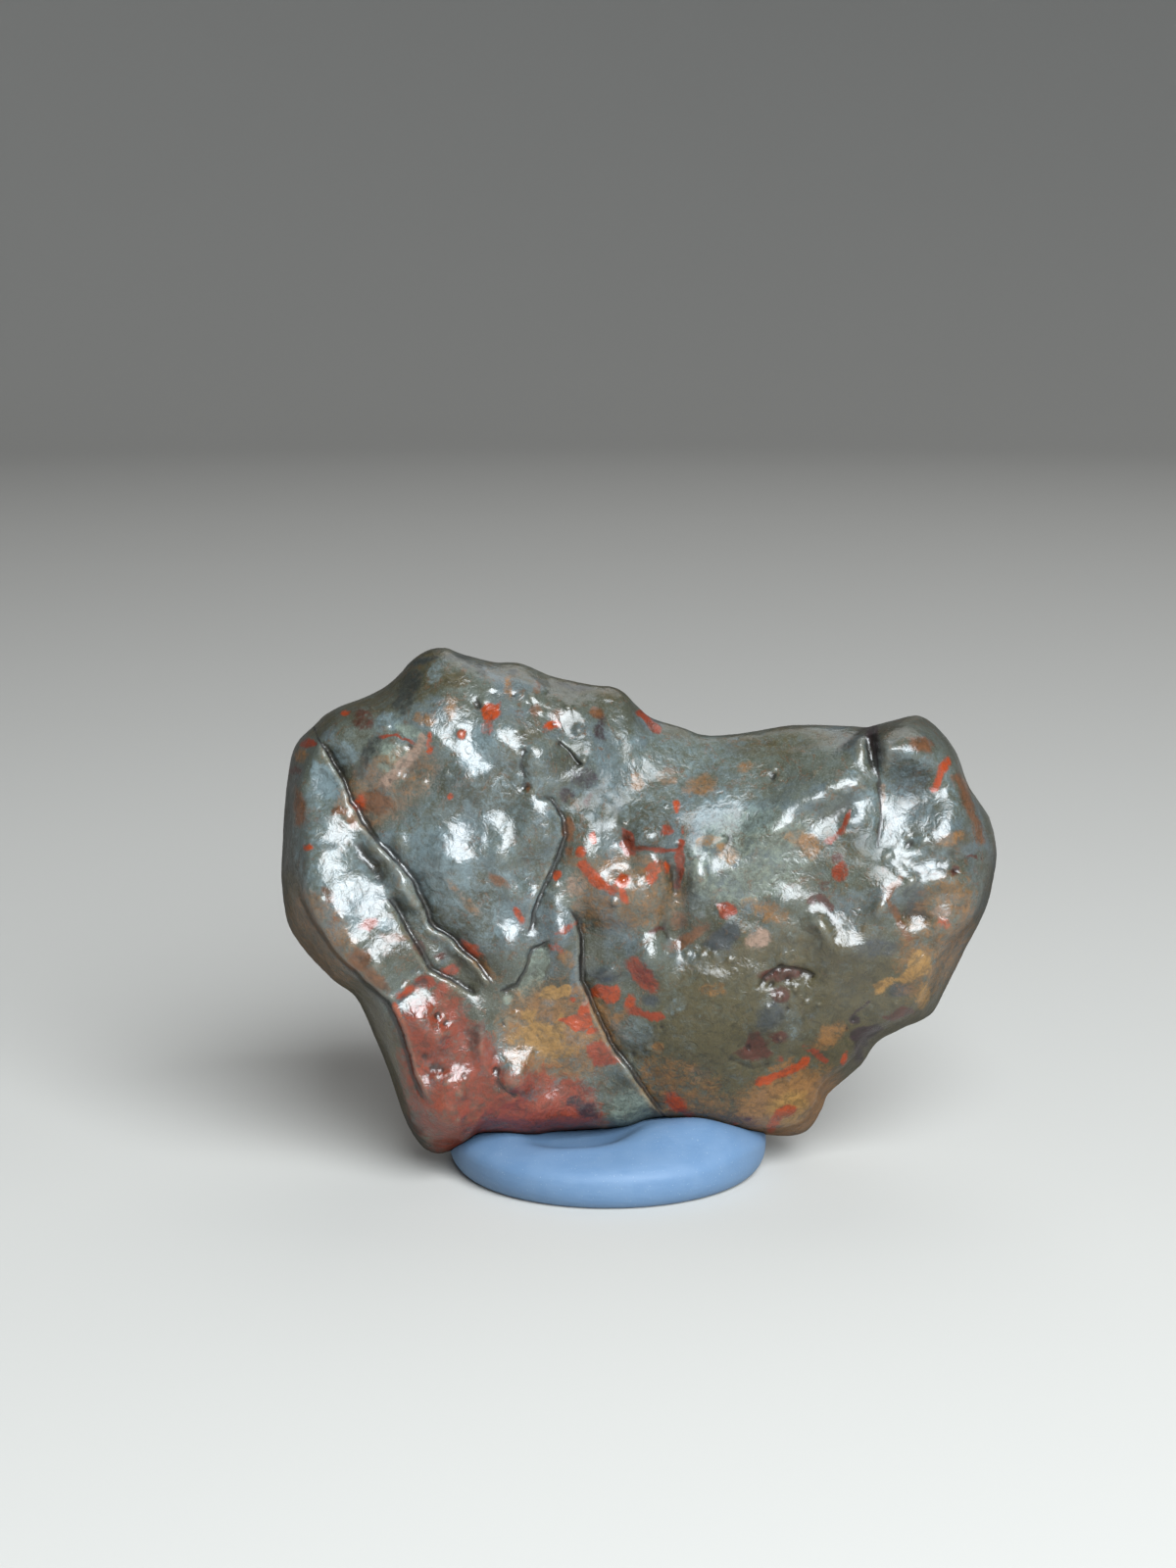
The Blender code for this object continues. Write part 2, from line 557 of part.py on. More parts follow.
def pad_rows():
    """Radius and height of the pad's rings, from the middle of its top to its underside."""
    top_rise = PAD_HEIGHT - PAD_WAIST_HEIGHT
    under_run = PAD_RADIUS - PAD_FLAT_RADIUS
    rows = []
    for row in range(PAD_TOP_ROWS + 1):
        turn = math.pi / 2 * (1.0 - row / PAD_TOP_ROWS)
        radius = PAD_RADIUS * abs(math.cos(turn)) ** (2.0 / PAD_FULLNESS)
        rows.append((radius, PAD_WAIST_HEIGHT + top_rise * math.sin(turn) ** (2.0 / PAD_FULLNESS)))
    for row in range(1, PAD_UNDER_ROWS + 1):
        turn = math.pi / 2 * row / PAD_UNDER_ROWS
        radius = PAD_FLAT_RADIUS + under_run * math.cos(turn)
        rows.append((radius, PAD_WAIST_HEIGHT * (1.0 - math.sin(turn))))
    return rows


def seat_height(stone_tree, x, y):
    """How high the putty may stand at a place so that it clears the stone above it."""
    lowest = math.inf
    for step_x in (-SEAT_REACH, 0.0, SEAT_REACH):
        for step_y in (-SEAT_REACH, 0.0, SEAT_REACH):
            start = Vector((x + step_x, y + step_y, -1.0)) * MM
            hit = stone_tree.ray_cast(start, Vector((0.0, 0.0, 1.0)))[0]
            if hit is not None:
                lowest = min(lowest, hit.z / MM)
    return max(lowest - SEAT_GAP, LEAST_PAD)


def pad_point(stone_tree, radius, height, angle):
    """One point of the pad: on its round form, made uneven and pressed down by the stone."""
    way = Vector((math.cos(angle), math.sin(angle), 0.0))
    rise = ease(0.0, PAD_WAIST_HEIGHT, height)
    reach = radius * (1.0 + PAD_SWELL * rise * noise.noise(way * PAD_SWELL_TURNS))
    x = PAD_CENTRE[0] + reach * way.x
    y = PAD_CENTRE[1] + reach * way.y
    if rise == 0.0:
        return Vector((x, y, 0.0)) * MM
    top = height + rise * PAD_UNEVEN * noise.noise(Vector((x, y, PAD_NOISE)) / PAD_UNEVEN_LENGTH)
    if height > PAD_WAIST_HEIGHT:
        top += sum(lump_height(lump, x, y) for lump in PAD_LUMPS)
    return Vector((x, y, min(top, seat_height(stone_tree, x, y)))) * MM


def make_pad(stone):
    """The pad: rings of points joined from the middle of its top to its flat underside."""
    stone_tree = BVHTree.FromObject(stone, bpy.context.evaluated_depsgraph_get())
    pad = bmesh.new()
    rings = []
    for radius, height in pad_rows():
        turns = PAD_TURNS if radius > 0.01 else 1
        angles = [2.0 * math.pi * turn / PAD_TURNS for turn in range(turns)]
        rings.append([pad.verts.new(pad_point(stone_tree, radius, height, angle)) for angle in angles])
    for inner, outer in zip(rings, rings[1:]):
        for turn in range(PAD_TURNS):
            following = (turn + 1) % PAD_TURNS
            if len(inner) == 1:
                pad.faces.new((inner[0], outer[turn], outer[following]))
            else:
                pad.faces.new((inner[turn], outer[turn], outer[following], inner[following]))
    pad.faces.new(reversed(rings[-1]))
    return finish("putty_pad", pad, *PUTTY_FINISH)


clear_scene()
agate = make_stone()
make_pad(agate)
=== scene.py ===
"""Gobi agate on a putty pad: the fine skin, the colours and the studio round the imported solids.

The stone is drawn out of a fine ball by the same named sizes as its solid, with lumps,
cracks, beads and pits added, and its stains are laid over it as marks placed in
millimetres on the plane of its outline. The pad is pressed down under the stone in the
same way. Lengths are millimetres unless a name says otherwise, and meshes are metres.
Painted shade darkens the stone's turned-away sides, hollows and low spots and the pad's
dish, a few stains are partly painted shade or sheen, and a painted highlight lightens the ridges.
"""

import logging
import math
from dataclasses import dataclass, field
from enum import Enum
from typing import Any, Callable, Iterable, Sequence

import bmesh
import bpy
import numpy as np
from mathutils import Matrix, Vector, noise
from mathutils.bvhtree import BVHTree


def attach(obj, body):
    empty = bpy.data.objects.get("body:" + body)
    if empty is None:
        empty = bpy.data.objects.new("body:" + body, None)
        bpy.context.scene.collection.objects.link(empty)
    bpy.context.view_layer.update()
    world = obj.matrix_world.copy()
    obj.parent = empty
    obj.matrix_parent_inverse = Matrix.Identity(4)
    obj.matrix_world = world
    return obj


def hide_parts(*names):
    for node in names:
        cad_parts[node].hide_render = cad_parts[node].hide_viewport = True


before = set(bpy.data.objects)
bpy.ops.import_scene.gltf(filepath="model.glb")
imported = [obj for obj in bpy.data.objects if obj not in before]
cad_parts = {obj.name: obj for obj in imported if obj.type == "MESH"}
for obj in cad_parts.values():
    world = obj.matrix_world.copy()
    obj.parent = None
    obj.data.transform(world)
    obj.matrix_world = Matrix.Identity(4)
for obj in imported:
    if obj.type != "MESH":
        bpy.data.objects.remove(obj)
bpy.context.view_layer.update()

MM = 0.001
LOG = logging.getLogger("gobi_agate")
BODY = "root"

Array = np.ndarray
Box = tuple[float, float, float, float]
Color = tuple[float, float, float]
Place = tuple[float, float]
Triple = tuple[float, float, float]


class Tint(Enum):
    """The colours laid on the stone, as seen in plain daylight: its stains, with painted shade in those named
    for shade too and painted sheen in the one named for sheen.
    """

    OCHRE = "73502c"
    AMBER = "826133"
    RUST = "5e3c24"
    ORANGE = "8c3206"
    RED = "732c16"
    WINE = "44241c"
    PLUM = "2a1e20"
    SOOT = "2d312f"
    SLATE = "363a3c"
    MIST = "5f6d70"
    SAGE = "6c766b"
    UMBER = "443d28"
    BLUSH = "826b5c"

    @property
    def layer(self) -> str:
        """The attribute that holds how deep in this stain each point lies."""
        return f"stain_{self.name.lower()}"


def paint(code: str) -> Color:
    """Turns a colour's six hexadecimal digits into linear light.

    Args:
        code: red, green and blue, two digits each.

    Returns:
        The linear red, green and blue.
    """
    shares = [int(code[start:start + 2], 16) / 255.0 for start in (0, 2, 4)]
    return tuple(share / 12.92 if share <= 0.04045 else ((share + 0.055) / 1.055) ** 2.4 for share in shares)


def ease(low: float, high: float, value: Array | float) -> Array:
    """Steps smoothly from 0 to 1.

    Args:
        low: where the step starts.
        high: where it ends.
        value: the places to read it at.

    Returns:
        The step's height at each place.
    """
    share = np.clip((value - low) / (high - low), 0.0, 1.0)
    return share * share * (3.0 - 2.0 * share)


def faded(reach: float, share: Array) -> Array:
    """1 along a line and falling to 0 over a reach at both its ends."""
    return ease(0.0, reach, share) * ease(0.0, reach, 1.0 - share)


def wave(points: Array, length: float) -> Array:
    """Reads smooth noise of about -1 to 1.

    Args:
        points: one row for each point.
        length: the wave length.

    Returns:
        The noise at each point.
    """
    return np.array([noise.noise(point) for point in (points / length).tolist()])


def by_quarter(values: Sequence[float], angle: Array) -> Array:
    """Blends four values given at the right, the top, the left and the bottom.

    Args:
        values: the four values.
        angle: angles from the right, counted towards the top.

    Returns:
        The value at each angle.
    """
    turn = np.mod(angle / (math.pi / 2), 4.0)
    before = np.floor(turn).astype(int) % 4
    share = ease(0.0, 1.0, turn - np.floor(turn))
    given = np.array(values)
    return given[before] * (1.0 - share) + given[(before + 1) % 4] * share


def from_line(points: Sequence[Place], x: Array, z: Array) -> tuple[Array, Array, Array]:
    """Measures places against a line of straight stretches.

    Args:
        points: the line's points.
        x: each place's x.
        z: each place's z.

    Returns:
        The distance, whether it lies on the left, and the share of the line's length.
    """
    nearest = np.full(x.shape, np.inf)
    on_left = np.zeros(x.shape, dtype=bool)
    travelled = np.zeros(x.shape)
    length = 0.0
    for (x0, z0), (x1, z1) in zip(points, points[1:]):
        run, rise = x1 - x0, z1 - z0
        step = math.hypot(run, rise)
        share = np.clip(((x - x0) * run + (z - z0) * rise) / step ** 2, 0.0, 1.0)
        distance = np.hypot(x - x0 - share * run, z - z0 - share * rise)
        closer = distance < nearest
        nearest = np.where(closer, distance, nearest)
        on_left = np.where(closer, run * (z - z0) - rise * (x - x0) > 0.0, on_left)
        travelled = np.where(closer, length + share * step, travelled)
        length += step
    return nearest, on_left, travelled / length


def box_round(points: Sequence[Place], reach: float) -> Box:
    """The lowest and highest x and z within a reach of some places."""
    across, up = zip(*points)
    return min(across) - reach, max(across) + reach, min(up) - reach, max(up) + reach


def units(rows: Array) -> Array:
    """The rows at length 1."""
    return rows / np.linalg.norm(rows, axis=1)[:, None]


def each(kind: Callable, *rows: tuple) -> tuple:
    """Makes one thing of each row of sizes."""
    return tuple(kind(*row) for row in rows)


@dataclass(frozen=True)
class Oval:
    """An oval round (x, z) with two half sizes. turn is the angle in degrees from +X to along."""

    x: float
    z: float
    along: float
    across: float
    turn: float

    def spans(self, x: Array, z: Array) -> tuple[Array, Array]:
        """Measures places from the middle.

        Args:
            x: each place's x.
            z: each place's z.

        Returns:
            How far along and across the oval each lies, in half sizes.
        """
        cos, sin = math.cos(math.radians(self.turn)), math.sin(math.radians(self.turn))
        along = ((x - self.x) * cos + (z - self.z) * sin) / self.along
        return along, ((z - self.z) * cos - (x - self.x) * sin) / self.across


@dataclass(frozen=True)
class Lump(Oval):
    """A swelling, or a hollow where the height is negative.

    At a half size a third of the height is left. firm is 1 for a soft hill and more for a
    flat top with steep sides.
    """

    height: float
    firm: float = 1.0

    REACH = 2.8

    def box(self) -> Box:
        """The lowest and highest x and z that it reaches."""
        return box_round([(self.x, self.z)], self.REACH * max(self.along, self.across))

    def rise(self, x: Array, z: Array) -> Array:
        """The height that it adds at each place."""
        along, across = self.spans(x, z)
        return self.height * np.exp(-((along ** 2 + across ** 2) ** self.firm))


@dataclass(frozen=True)
class Crack:
    """A groove along a line of (x, z) points, or a ridge where the depth is negative.

    A drop lets the surface fall away towards the line from its left side, seen along the
    line, or from its right side where the drop is negative. It fades out over the reach.
    ink is how wide the dark line in its bottom is.
    """

    points: tuple[Place, ...]
    width: float
    depth: float
    drop: float = 0.0
    reach: float = 1.0
    ink: float = 0.0

    WIDTHS_OUT = 3.0
    REACHES_OUT = 5.0
    END_SHARE = 0.12
    STEP_HALF_WIDTH = 0.2
    UNEVEN_TURNS = 16.0
    MEAN_SHARE = 0.8
    SWING_SHARE = 0.2

    def box(self) -> Box:
        """The lowest and highest x and z that it reaches."""
        dropped = self.REACHES_OUT * self.reach if self.drop else 0.0
        return box_round(self.points, max(self.WIDTHS_OUT * self.width, dropped))

    def rise(self, x: Array, z: Array) -> Array:
        """Works out the height that it adds.

        Args:
            x: each place's x.
            z: each place's z.

        Returns:
            The height at each place.
        """
        nearest, on_left, share = from_line(self.points, x, z)
        uneven = self.MEAN_SHARE + self.SWING_SHARE * np.sin(share * self.UNEVEN_TURNS)
        height = -self.depth * uneven * np.exp(-((nearest / self.width) ** 2))
        if self.drop:
            towards_low = np.where(on_left == (self.drop > 0.0), nearest, -nearest)
            lowered = ease(-self.STEP_HALF_WIDTH, self.STEP_HALF_WIDTH, towards_low)
            height = height - abs(self.drop) * lowered * np.exp(-nearest / self.reach)
        return height * faded(self.END_SHARE, share)


class Mark:
    """A stain. fill is how much of it is covered, and soft how wide its edge is."""

    fill: float
    soft: float

    def inside(self, x: Array, z: Array) -> Array:
        """How far inside its edge each place lies. Each mark has its own."""
        raise NotImplementedError

    def cover(self, x: Array, z: Array) -> Array:
        """How deep in the stain each place lies: 0 outside, a half on its edge, fill inside."""
        return np.clip(0.5 + self.inside(x, z) / (2.0 * self.soft), 0.0, self.fill)


@dataclass(frozen=True)
class Spot(Oval, Mark):
    """An oval stain."""

    fill: float = 0.8
    soft: float = 0.4

    def box(self) -> Box:
        """The lowest and highest x and z that it reaches."""
        return box_round([(self.x, self.z)], max(self.along, self.across) + self.soft)

    def inside(self, x: Array, z: Array) -> Array:
        """How far inside its edge each place lies."""
        return (1.0 - np.hypot(*self.spans(x, z))) * min(self.along, self.across)


@dataclass(frozen=True)
class Patch(Mark):
    """A stain with an outline of straight stretches."""

    points: tuple[Place, ...]
    fill: float = 0.9
    soft: float = 0.25

    def box(self) -> Box:
        """The lowest and highest x and z that it reaches."""
        return box_round(self.points, self.soft)

    def inside(self, x: Array, z: Array) -> Array:
        """Measures places from the edge.

        Args:
            x: each place's x.
            z: each place's z.

        Returns:
            How far inside its edge each lies, negative outside.
        """
        ring = (*self.points, self.points[0])
        within = np.zeros(x.shape, dtype=bool)
        for (x0, z0), (x1, z1) in zip(ring, ring[1:]):
            if z0 != z1:
                within ^= ((z0 > z) != (z1 > z)) & (x < (x1 - x0) * (z - z0) / (z1 - z0) + x0)
        return np.where(within, 1.0, -1.0) * from_line(ring, x, z)[0]


@dataclass(frozen=True)
class Vein(Mark):
    """A stain along a line."""

    points: tuple[Place, ...]
    width: float
    fill: float = 0.8
    soft: float = 0.2

    def box(self) -> Box:
        """The lowest and highest x and z that it reaches."""
        return box_round(self.points, self.width + self.soft)

    def inside(self, x: Array, z: Array) -> Array:
        """How far inside its edge each place lies."""
        return self.width - from_line(self.points, x, z)[0]


def gather(things: Iterable[Any], read: Callable, join: Callable, x: Array, z: Array) -> Array:
    """Joins what many things give, each read only where it reaches.

    Args:
        things: lumps, cracks or marks.
        read: takes a thing and places and gives its values there.
        join: takes the values so far and the new ones and gives the joined ones.
        x: each place's x.
        z: each place's z.

    Returns:
        The joined value at each place.
    """
    total = np.zeros(x.shape)
    for thing in things:
        left, right, low, high = thing.box()
        near = (x > left) & (x < right) & (z > low) & (z < high)
        if near.any():
            total[near] = join(total[near], read(thing, x[near], z[near]))
    return total


def covered(marks: Iterable[Mark], x: Array, z: Array) -> Array:
    """The deepest cover that any of the marks gives at each place."""
    return gather(marks, lambda mark, *at: mark.cover(*at), np.maximum, x, z)


OUTLINE: tuple[Place, ...] = (
    (-17.8, 44.8), (-16.3, 45), (-15, 44.5), (-12.2, 43.8), (-10.1, 43.7), (-7.4, 42.6), (-4.3, 41.9),
    (-1.8, 41.5), (-0.1, 40), (1.1, 39), (3.6, 38.2), (5.8, 37.5), (9.4, 37.8), (13.1, 38.4), (18.2, 38.3),
    (19.2, 38.2), (21.5, 38.8), (23.7, 39.2), (25.5, 37.9), (26.9, 36), (28, 33.2), (29.8, 30.4),
    (30.5, 27.7), (30.3, 25.1), (29.7, 22.4), (28.1, 19), (26.3, 15.1), (25.1, 13), (22.6, 11.8),
    (20.6, 10.6), (19.2, 8.5), (16.6, 6.1), (15.9, 4.5), (14.6, 2.6), (12.3, 2.2), (8, 2.8), (4.2, 3.5),
    (2.6, 3.7), (0.8, 3.6), (-1.9, 2.8), (-7.3, 2.5), (-9.4, 2.2), (-13.7, 2.4), (-15.4, 1.3), (-17.2, 0.6),
    (-18.8, 1.3), (-20.2, 3.7), (-21.5, 7.8), (-22.9, 11.5), (-24.3, 14.6), (-26.4, 16.3), (-28.7, 18.9),
    (-30, 21.1), (-30.5, 24.4), (-30.4, 27.8), (-29.9, 33.3), (-29.2, 36.5), (-27.6, 38.3), (-25.9, 39.7),
    (-22.5, 41.1), (-20.7, 42.3), (-19.2, 43.9),
)

# How far the rim bends forwards out of the upright plane, or back where negative
RIM_BENDS: tuple[Lump, ...] = each(
    Lump,
    (-19, 4, 10, 9, 0, 2.4), (-25, 33, 10, 9, 0, -1.6), (-4, 42, 11, 8, 0, 1.6), (24, 36, 10, 9, 0, -2),
    (28, 18, 10, 9, 0, 1.8), (12, 2, 10, 8, 0, -1.4),
)

# Where the face is thinner or thicker, by shares of its depth
THINNED: tuple[Lump, ...] = each(
    Lump,
    (8.5, 38, 9, 7, 0, -0.42), (-9, 43, 11, 6, -12, -0.25), (23.6, 37.8, 4.4, 2.8, -20, 0.8),
    (27.4, 30.5, 3, 4.5, 0, 0.25),
)

FACE_LUMPS: tuple[Lump, ...] = each(
    Lump,
    # the left plate, the strip beside it and the lobe below them
    (-27.6, 17.2, 11, 8, 105, 2.8), (-26.2, 21.6, 4.4, 3, 115, 0.9), (-28.2, 27.2, 3.6, 2.8, 80, 1),
    (-26.4, 34, 2.4, 1.6, 65, -0.9), (-22.6, 26.2, 2.3, 0.8, -48, -0.8), (-22.2, 16.2, 2.3, 1.7, 95, 1.1),
    (-24.6, 19, 1.4, 1, 40, 0.5), (-20.4, 24.4, 2.2, 0.8, -55, 0.8), (-16.2, 18.6, 3.2, 1.2, -50, -0.7),
    (-18.6, 12.2, 2.4, 1.6, 110, 1.3), (-16.8, 11.2, 1.3, 0.9, 60, 0.7), (-17.2, 8.2, 1.8, 1, 10, -0.5),
    (-16.4, 4.9, 2.6, 1.7, 60, 1.2), (-13.5, 10.6, 3, 0.8, 95, 0.8), (-10.6, 7.2, 2.2, 1.8, 75, 1.5, 1.2),
    (-8, 5, 2.4, 1.2, 30, 0.5), (-8, 1, 9, 4, 0, 1), (-20, 4, 7, 5, 100, 1),
    # the crown and the middle mass
    (-18, 37.5, 5, 4, 40, 0.5), (-22, 35.4, 2, 1.2, 40, 0.5), (-19.3, 34.6, 1.6, 0.7, 45, -0.4),
    (-16.4, 26.2, 3.6, 2.8, 110, 1.9), (-22, 28.6, 1.6, 1, 100, 0.9), (-20.4, 28.2, 1.6, 0.8, 100, 0.7),
    (-16.6, 32, 1.6, 1.2, 20, 0.6), (-14.3, 33.8, 2.2, 1.7, 120, 1.1), (-12, 37.6, 1.8, 1.4, 60, 0.7),
    (-8.4, 36, 1.5, 1.8, 90, 0.8), (-11.6, 27.4, 2.4, 1.7, 70, 1.3), (-10.6, 24, 1.8, 1.3, 120, 0.7),
    (-13.4, 20.2, 2.4, 1.3, 95, 0.6), (-11.2, 18.8, 2.2, 1.3, 100, 0.8), (-8.6, 29.2, 2.4, 1.5, 95, 0.7, 2),
    (-6.6, 20, 4, 1.4, 95, 0.9), (-5, 39.6, 2.2, 1.3, 150, 0.8), (-4.2, 36.6, 1.6, 1.3, 100, 0.7),
    (-5, 32.6, 1.8, 1.5, 60, -0.6), (-4.2, 26.6, 2.2, 1.4, 110, 0.5),
    # the middle plate and the lumps round it
    (-1.4, 23.2, 3, 2.6, 0, 0.9, 2), (1, 28.9, 2.2, 1.8, 75, 1.5), (0.4, 37.4, 2.6, 2.2, 75, 1),
    (-2.6, 30.8, 1.4, 1.2, 0, -0.4), (0.8, 17.8, 2.2, 1.7, 110, 1.3), (-2.6, 16.9, 0.9, 0.6, 20, 0.4),
    (3.6, 24.4, 3, 0.9, 92, -0.9), (3.6, 19.8, 1.8, 1, 80, -0.7), (5.3, 25.4, 1.6, 1, 100, 0.6),
    (6.4, 28.2, 1.1, 0.7, 60, 0.5), (7.4, 21, 1.4, 1, 60, 0.3),
    # the right half: saddle, slanting ridge, knob, bands and the big lower dome
    (12, 30.2, 4.2, 1.6, 52, 1.3), (6.6, 28.4, 3.6, 2.2, 20, -0.6), (15.2, 32.2, 1.7, 1.2, 20, 0.7),
    (17.7, 33.4, 1.9, 1.3, 0, 1, 1.4), (18.9, 30.6, 1.6, 1.1, 60, 0.3), (23, 38, 4, 3.4, 0, 0.9),
    (23.7, 36.9, 1.2, 0.9, 0, -0.5), (20.9, 35.6, 1.7, 0.9, 80, 0.5), (23.2, 32.6, 3, 2.4, 0, -0.45),
    (24.6, 28, 3.4, 1.6, 8, 0.3), (24.4, 26.4, 3.6, 1.2, 5, -0.4), (25.2, 24.9, 3, 1.2, 2, 0.6),
    (20.9, 22.4, 1.3, 1, 60, 0.8), (23.8, 22, 1.8, 1.1, 0, -0.7), (26.4, 20.6, 1.6, 1.2, 60, 0.5),
    (15.6, 20.9, 1.7, 0.8, -55, 0.9), (12.4, 23, 1.8, 1.2, 10, 0.6), (17.9, 18.8, 1.7, 1, 10, 0.5),
    (9.4, 20.6, 2, 1.4, 0, 0.3), (6, 10.4, 6.6, 5.2, 20, 1.6), (9.8, 10.3, 1.7, 1.1, 0, -0.6),
    (12.4, 15.6, 2.4, 1.4, 10, -0.4), (20.4, 14.9, 4, 2.4, 40, -1.1), (24, 17.4, 1.6, 1.2, 40, 0.5),
    (13.4, 4.6, 3, 2, 20, 0.9), (-0.8, 7.8, 1.6, 1.2, -60, 0.5),
    # the cleft in the top edge beside the knob
    (19.7, 36.9, 2, 0.65, 98, -1.5, 1.3),
)

# Beads and pits as x, z, radius and height
FACE_DOTS: tuple[Lump, ...] = tuple(
    Lump(x, z, radius, radius, 0, height) for x, z, radius, height in (
        (15, 34.4, 0.3, 0.22), (16.1, 33.1, 0.28, 0.2), (16.8, 32.8, 0.24, 0.18), (17.7, 32.5, 0.26, 0.2),
        (19.2, 32.8, 0.24, 0.16), (18, 30.1, 0.28, 0.18), (17.6, 29.2, 0.26, 0.18), (11.5, 34, 0.34, -0.32),
        (11.5, 34.6, 0.22, 0.2), (11.8, 33, 0.24, 0.22), (12, 33.8, 0.2, 0.2), (4.2, 18.5, 0.26, 0.2),
        (5.5, 18.3, 0.24, 0.2), (6.5, 18.3, 0.26, 0.2), (7.9, 18, 0.3, 0.22), (-7.8, 25.4, 0.26, 0.2),
        (-7.1, 24.5, 0.3, 0.24), (-7.9, 23.9, 0.24, 0.18), (-2.1, 23.1, 0.4, 0.42), (-1.3, 25, 0.3, 0.2),
        (-15.1, 37.6, 0.34, 0.26), (-13.6, 40.1, 0.36, -0.4), (-13.2, 40.3, 0.26, 0.24),
        (-12.3, 41, 0.28, -0.22), (-10.7, 41, 0.26, -0.2), (-10.3, 38, 0.4, 0.28), (-6, 40, 0.34, 0.26),
        (-5.2, 38, 0.5, 0.36), (-5, 41.1, 0.34, 0.24), (-4.6, 35.4, 0.34, 0.28), (-3.6, 39.6, 0.32, 0.28),
        (-7.2, 38.4, 0.3, -0.22), (-9.4, 33.1, 0.28, -0.26), (-16.4, 34.2, 0.3, 0.2),
        (-18.3, 33.4, 0.26, 0.22), (-20.4, 34, 0.3, 0.26), (-19.4, 36.6, 0.3, -0.22),
        (-25.2, 34.6, 0.34, -0.34), (-24.6, 30.4, 0.3, 0.24), (-27.1, 23.4, 0.34, 0.26),
        (-25.4, 21.5, 0.3, 0.22), (-21.3, 22.7, 0.34, 0.28), (-17.2, 17.7, 0.26, 0.22),
        (-17.4, 13, 0.34, -0.34), (-16.6, 12.3, 0.28, -0.28), (-16.8, 12.8, 0.24, 0.24),
        (-17.4, 7.4, 0.34, 0.32), (-16.6, 7, 0.26, 0.24), (-16.8, 8.9, 0.28, 0.24), (-18.2, 8.4, 0.3, 0.22),
        (-18.6, 9.4, 0.34, -0.28), (-15.2, 6, 0.42, 0.34), (-15.6, 3.6, 0.3, 0.22),
        (-10.6, 13.1, 0.3, 0.24), (-11.6, 12.2, 0.26, -0.22), (-0.8, 28.6, 0.26, 0.26),
        (-1.4, 30, 0.28, 0.28), (2.4, 31.6, 0.3, 0.26), (3.4, 28.2, 0.32, 0.26), (2.7, 18.5, 0.4, 0.3),
        (0.9, 10, 0.34, 0.22), (-0.4, 9.6, 0.3, -0.24), (2, 12, 0.26, -0.22), (7.3, 28.6, 0.26, 0.22),
        (7, 22.4, 0.3, 0.24), (22.9, 28.7, 0.3, 0.22), (24.3, 28.3, 0.28, 0.2), (25, 27.7, 0.26, 0.18),
        (27, 25.7, 0.4, -0.3), (28.2, 26.9, 0.34, -0.3), (26.7, 20.1, 0.3, 0.2), (28, 22.7, 0.3, -0.22),
        (12.2, 14.6, 0.3, 0.3), (12.2, 11, 0.3, 0.28), (14.6, 14.2, 0.26, 0.22), (15.6, 13.9, 0.24, 0.2),
        (11.4, 15.8, 0.34, -0.34), (12.8, 16.2, 0.3, -0.3), (13.6, 15.4, 0.26, 0.26),
        (11.2, 13.6, 0.26, 0.22), (18.6, 12.6, 0.3, -0.26), (22.3, 14, 0.26, 0.2), (24.7, 16.6, 0.26, 0.18),
        (9.6, 10.2, 0.34, -0.28), (-8.3, 39.6, 0.28, 0.22), (-9, 40.8, 0.32, 0.26),
        (-7.7, 41.2, 0.3, -0.24), (-21.4, 38.2, 0.34, 0.24),
    )
)

# Where the skin is smooth and nearly even
CALMS: tuple[Spot, ...] = each(
    Spot,
    (6, 11, 6.5, 5, 10, 0.75, 2.5), (8, 34, 6.5, 4.5, 0, 0.85, 2), (10, 26, 4.5, 3, 20, 0.6, 2),
    (-25, 24.5, 3, 5, 15, 0.4, 1.5), (-8, 29, 1.8, 3, 0, 0.6, 1), (22.5, 33, 2.6, 1.8, 0, 0.6, 1),
    (-26.8, 33.6, 2, 2.4, 0, 0.7, 1), (-9, 16.5, 1.6, 3, -20, 0.7, 0.8),
)

# Where the skin is less polished
DULLS: tuple[Spot, ...] = each(
    Spot,
    (6.2, 29.4, 3.6, 1.9, 5, 0.75, 1.4), (6, 11, 6, 5.5, 10, 0.6, 3), (-4, 33, 2.2, 1.6, 30, 0.8, 1),
    (-3.2, 36.8, 2.6, 2.8, 0, 0.55, 1.2), (17, 7.5, 5, 4, 30, 0.7, 2), (12.5, 15, 3, 3, 0, 0.4, 1.5),
    (18, 26.8, 2.8, 2.8, 0, 0.85, 1.2), (-3.5, 31.8, 3.2, 1.8, 20, 0.7, 1),
    (8.4, 21.2, 2.4, 1.6, -20, 0.7, 0.8), (22.8, 33.2, 2.4, 1.4, 0, 0.6, 0.8),
    (-26.6, 34.4, 2, 2.6, 0, 0.5, 1), (8, 35, 7, 3.6, 0, 0.5, 1.6),
)

# Where the skin is rough and pitted
CRUSTS: tuple[Spot, ...] = each(
    Spot,
    (12.3, 16.2, 2.6, 1.6, 5, 1, 0.8), (12.2, 13.4, 1.3, 2, 0, 0.8, 0.8), (-12.3, 43, 1.2, 0.7, 5, 0.6),
    (-4.4, 39.9, 2.4, 1.4, 0, 0.6, 0.8), (5.6, 18.8, 2.4, 0.8, 0, 0.7, 0.6),
    (-20.2, 34.4, 1.6, 1, 40, 0.7, 0.6), (-16.6, 7.6, 1.8, 1.4, 0, 0.8, 0.8),
    (9.8, 10.4, 1.8, 1.2, 0, 0.7, 0.6), (18.6, 12.4, 1.2, 0.9, 40, 0.8, 0.5),
    (-8.6, 40.6, 1.6, 1.2, 0, 0.6, 0.6),
)

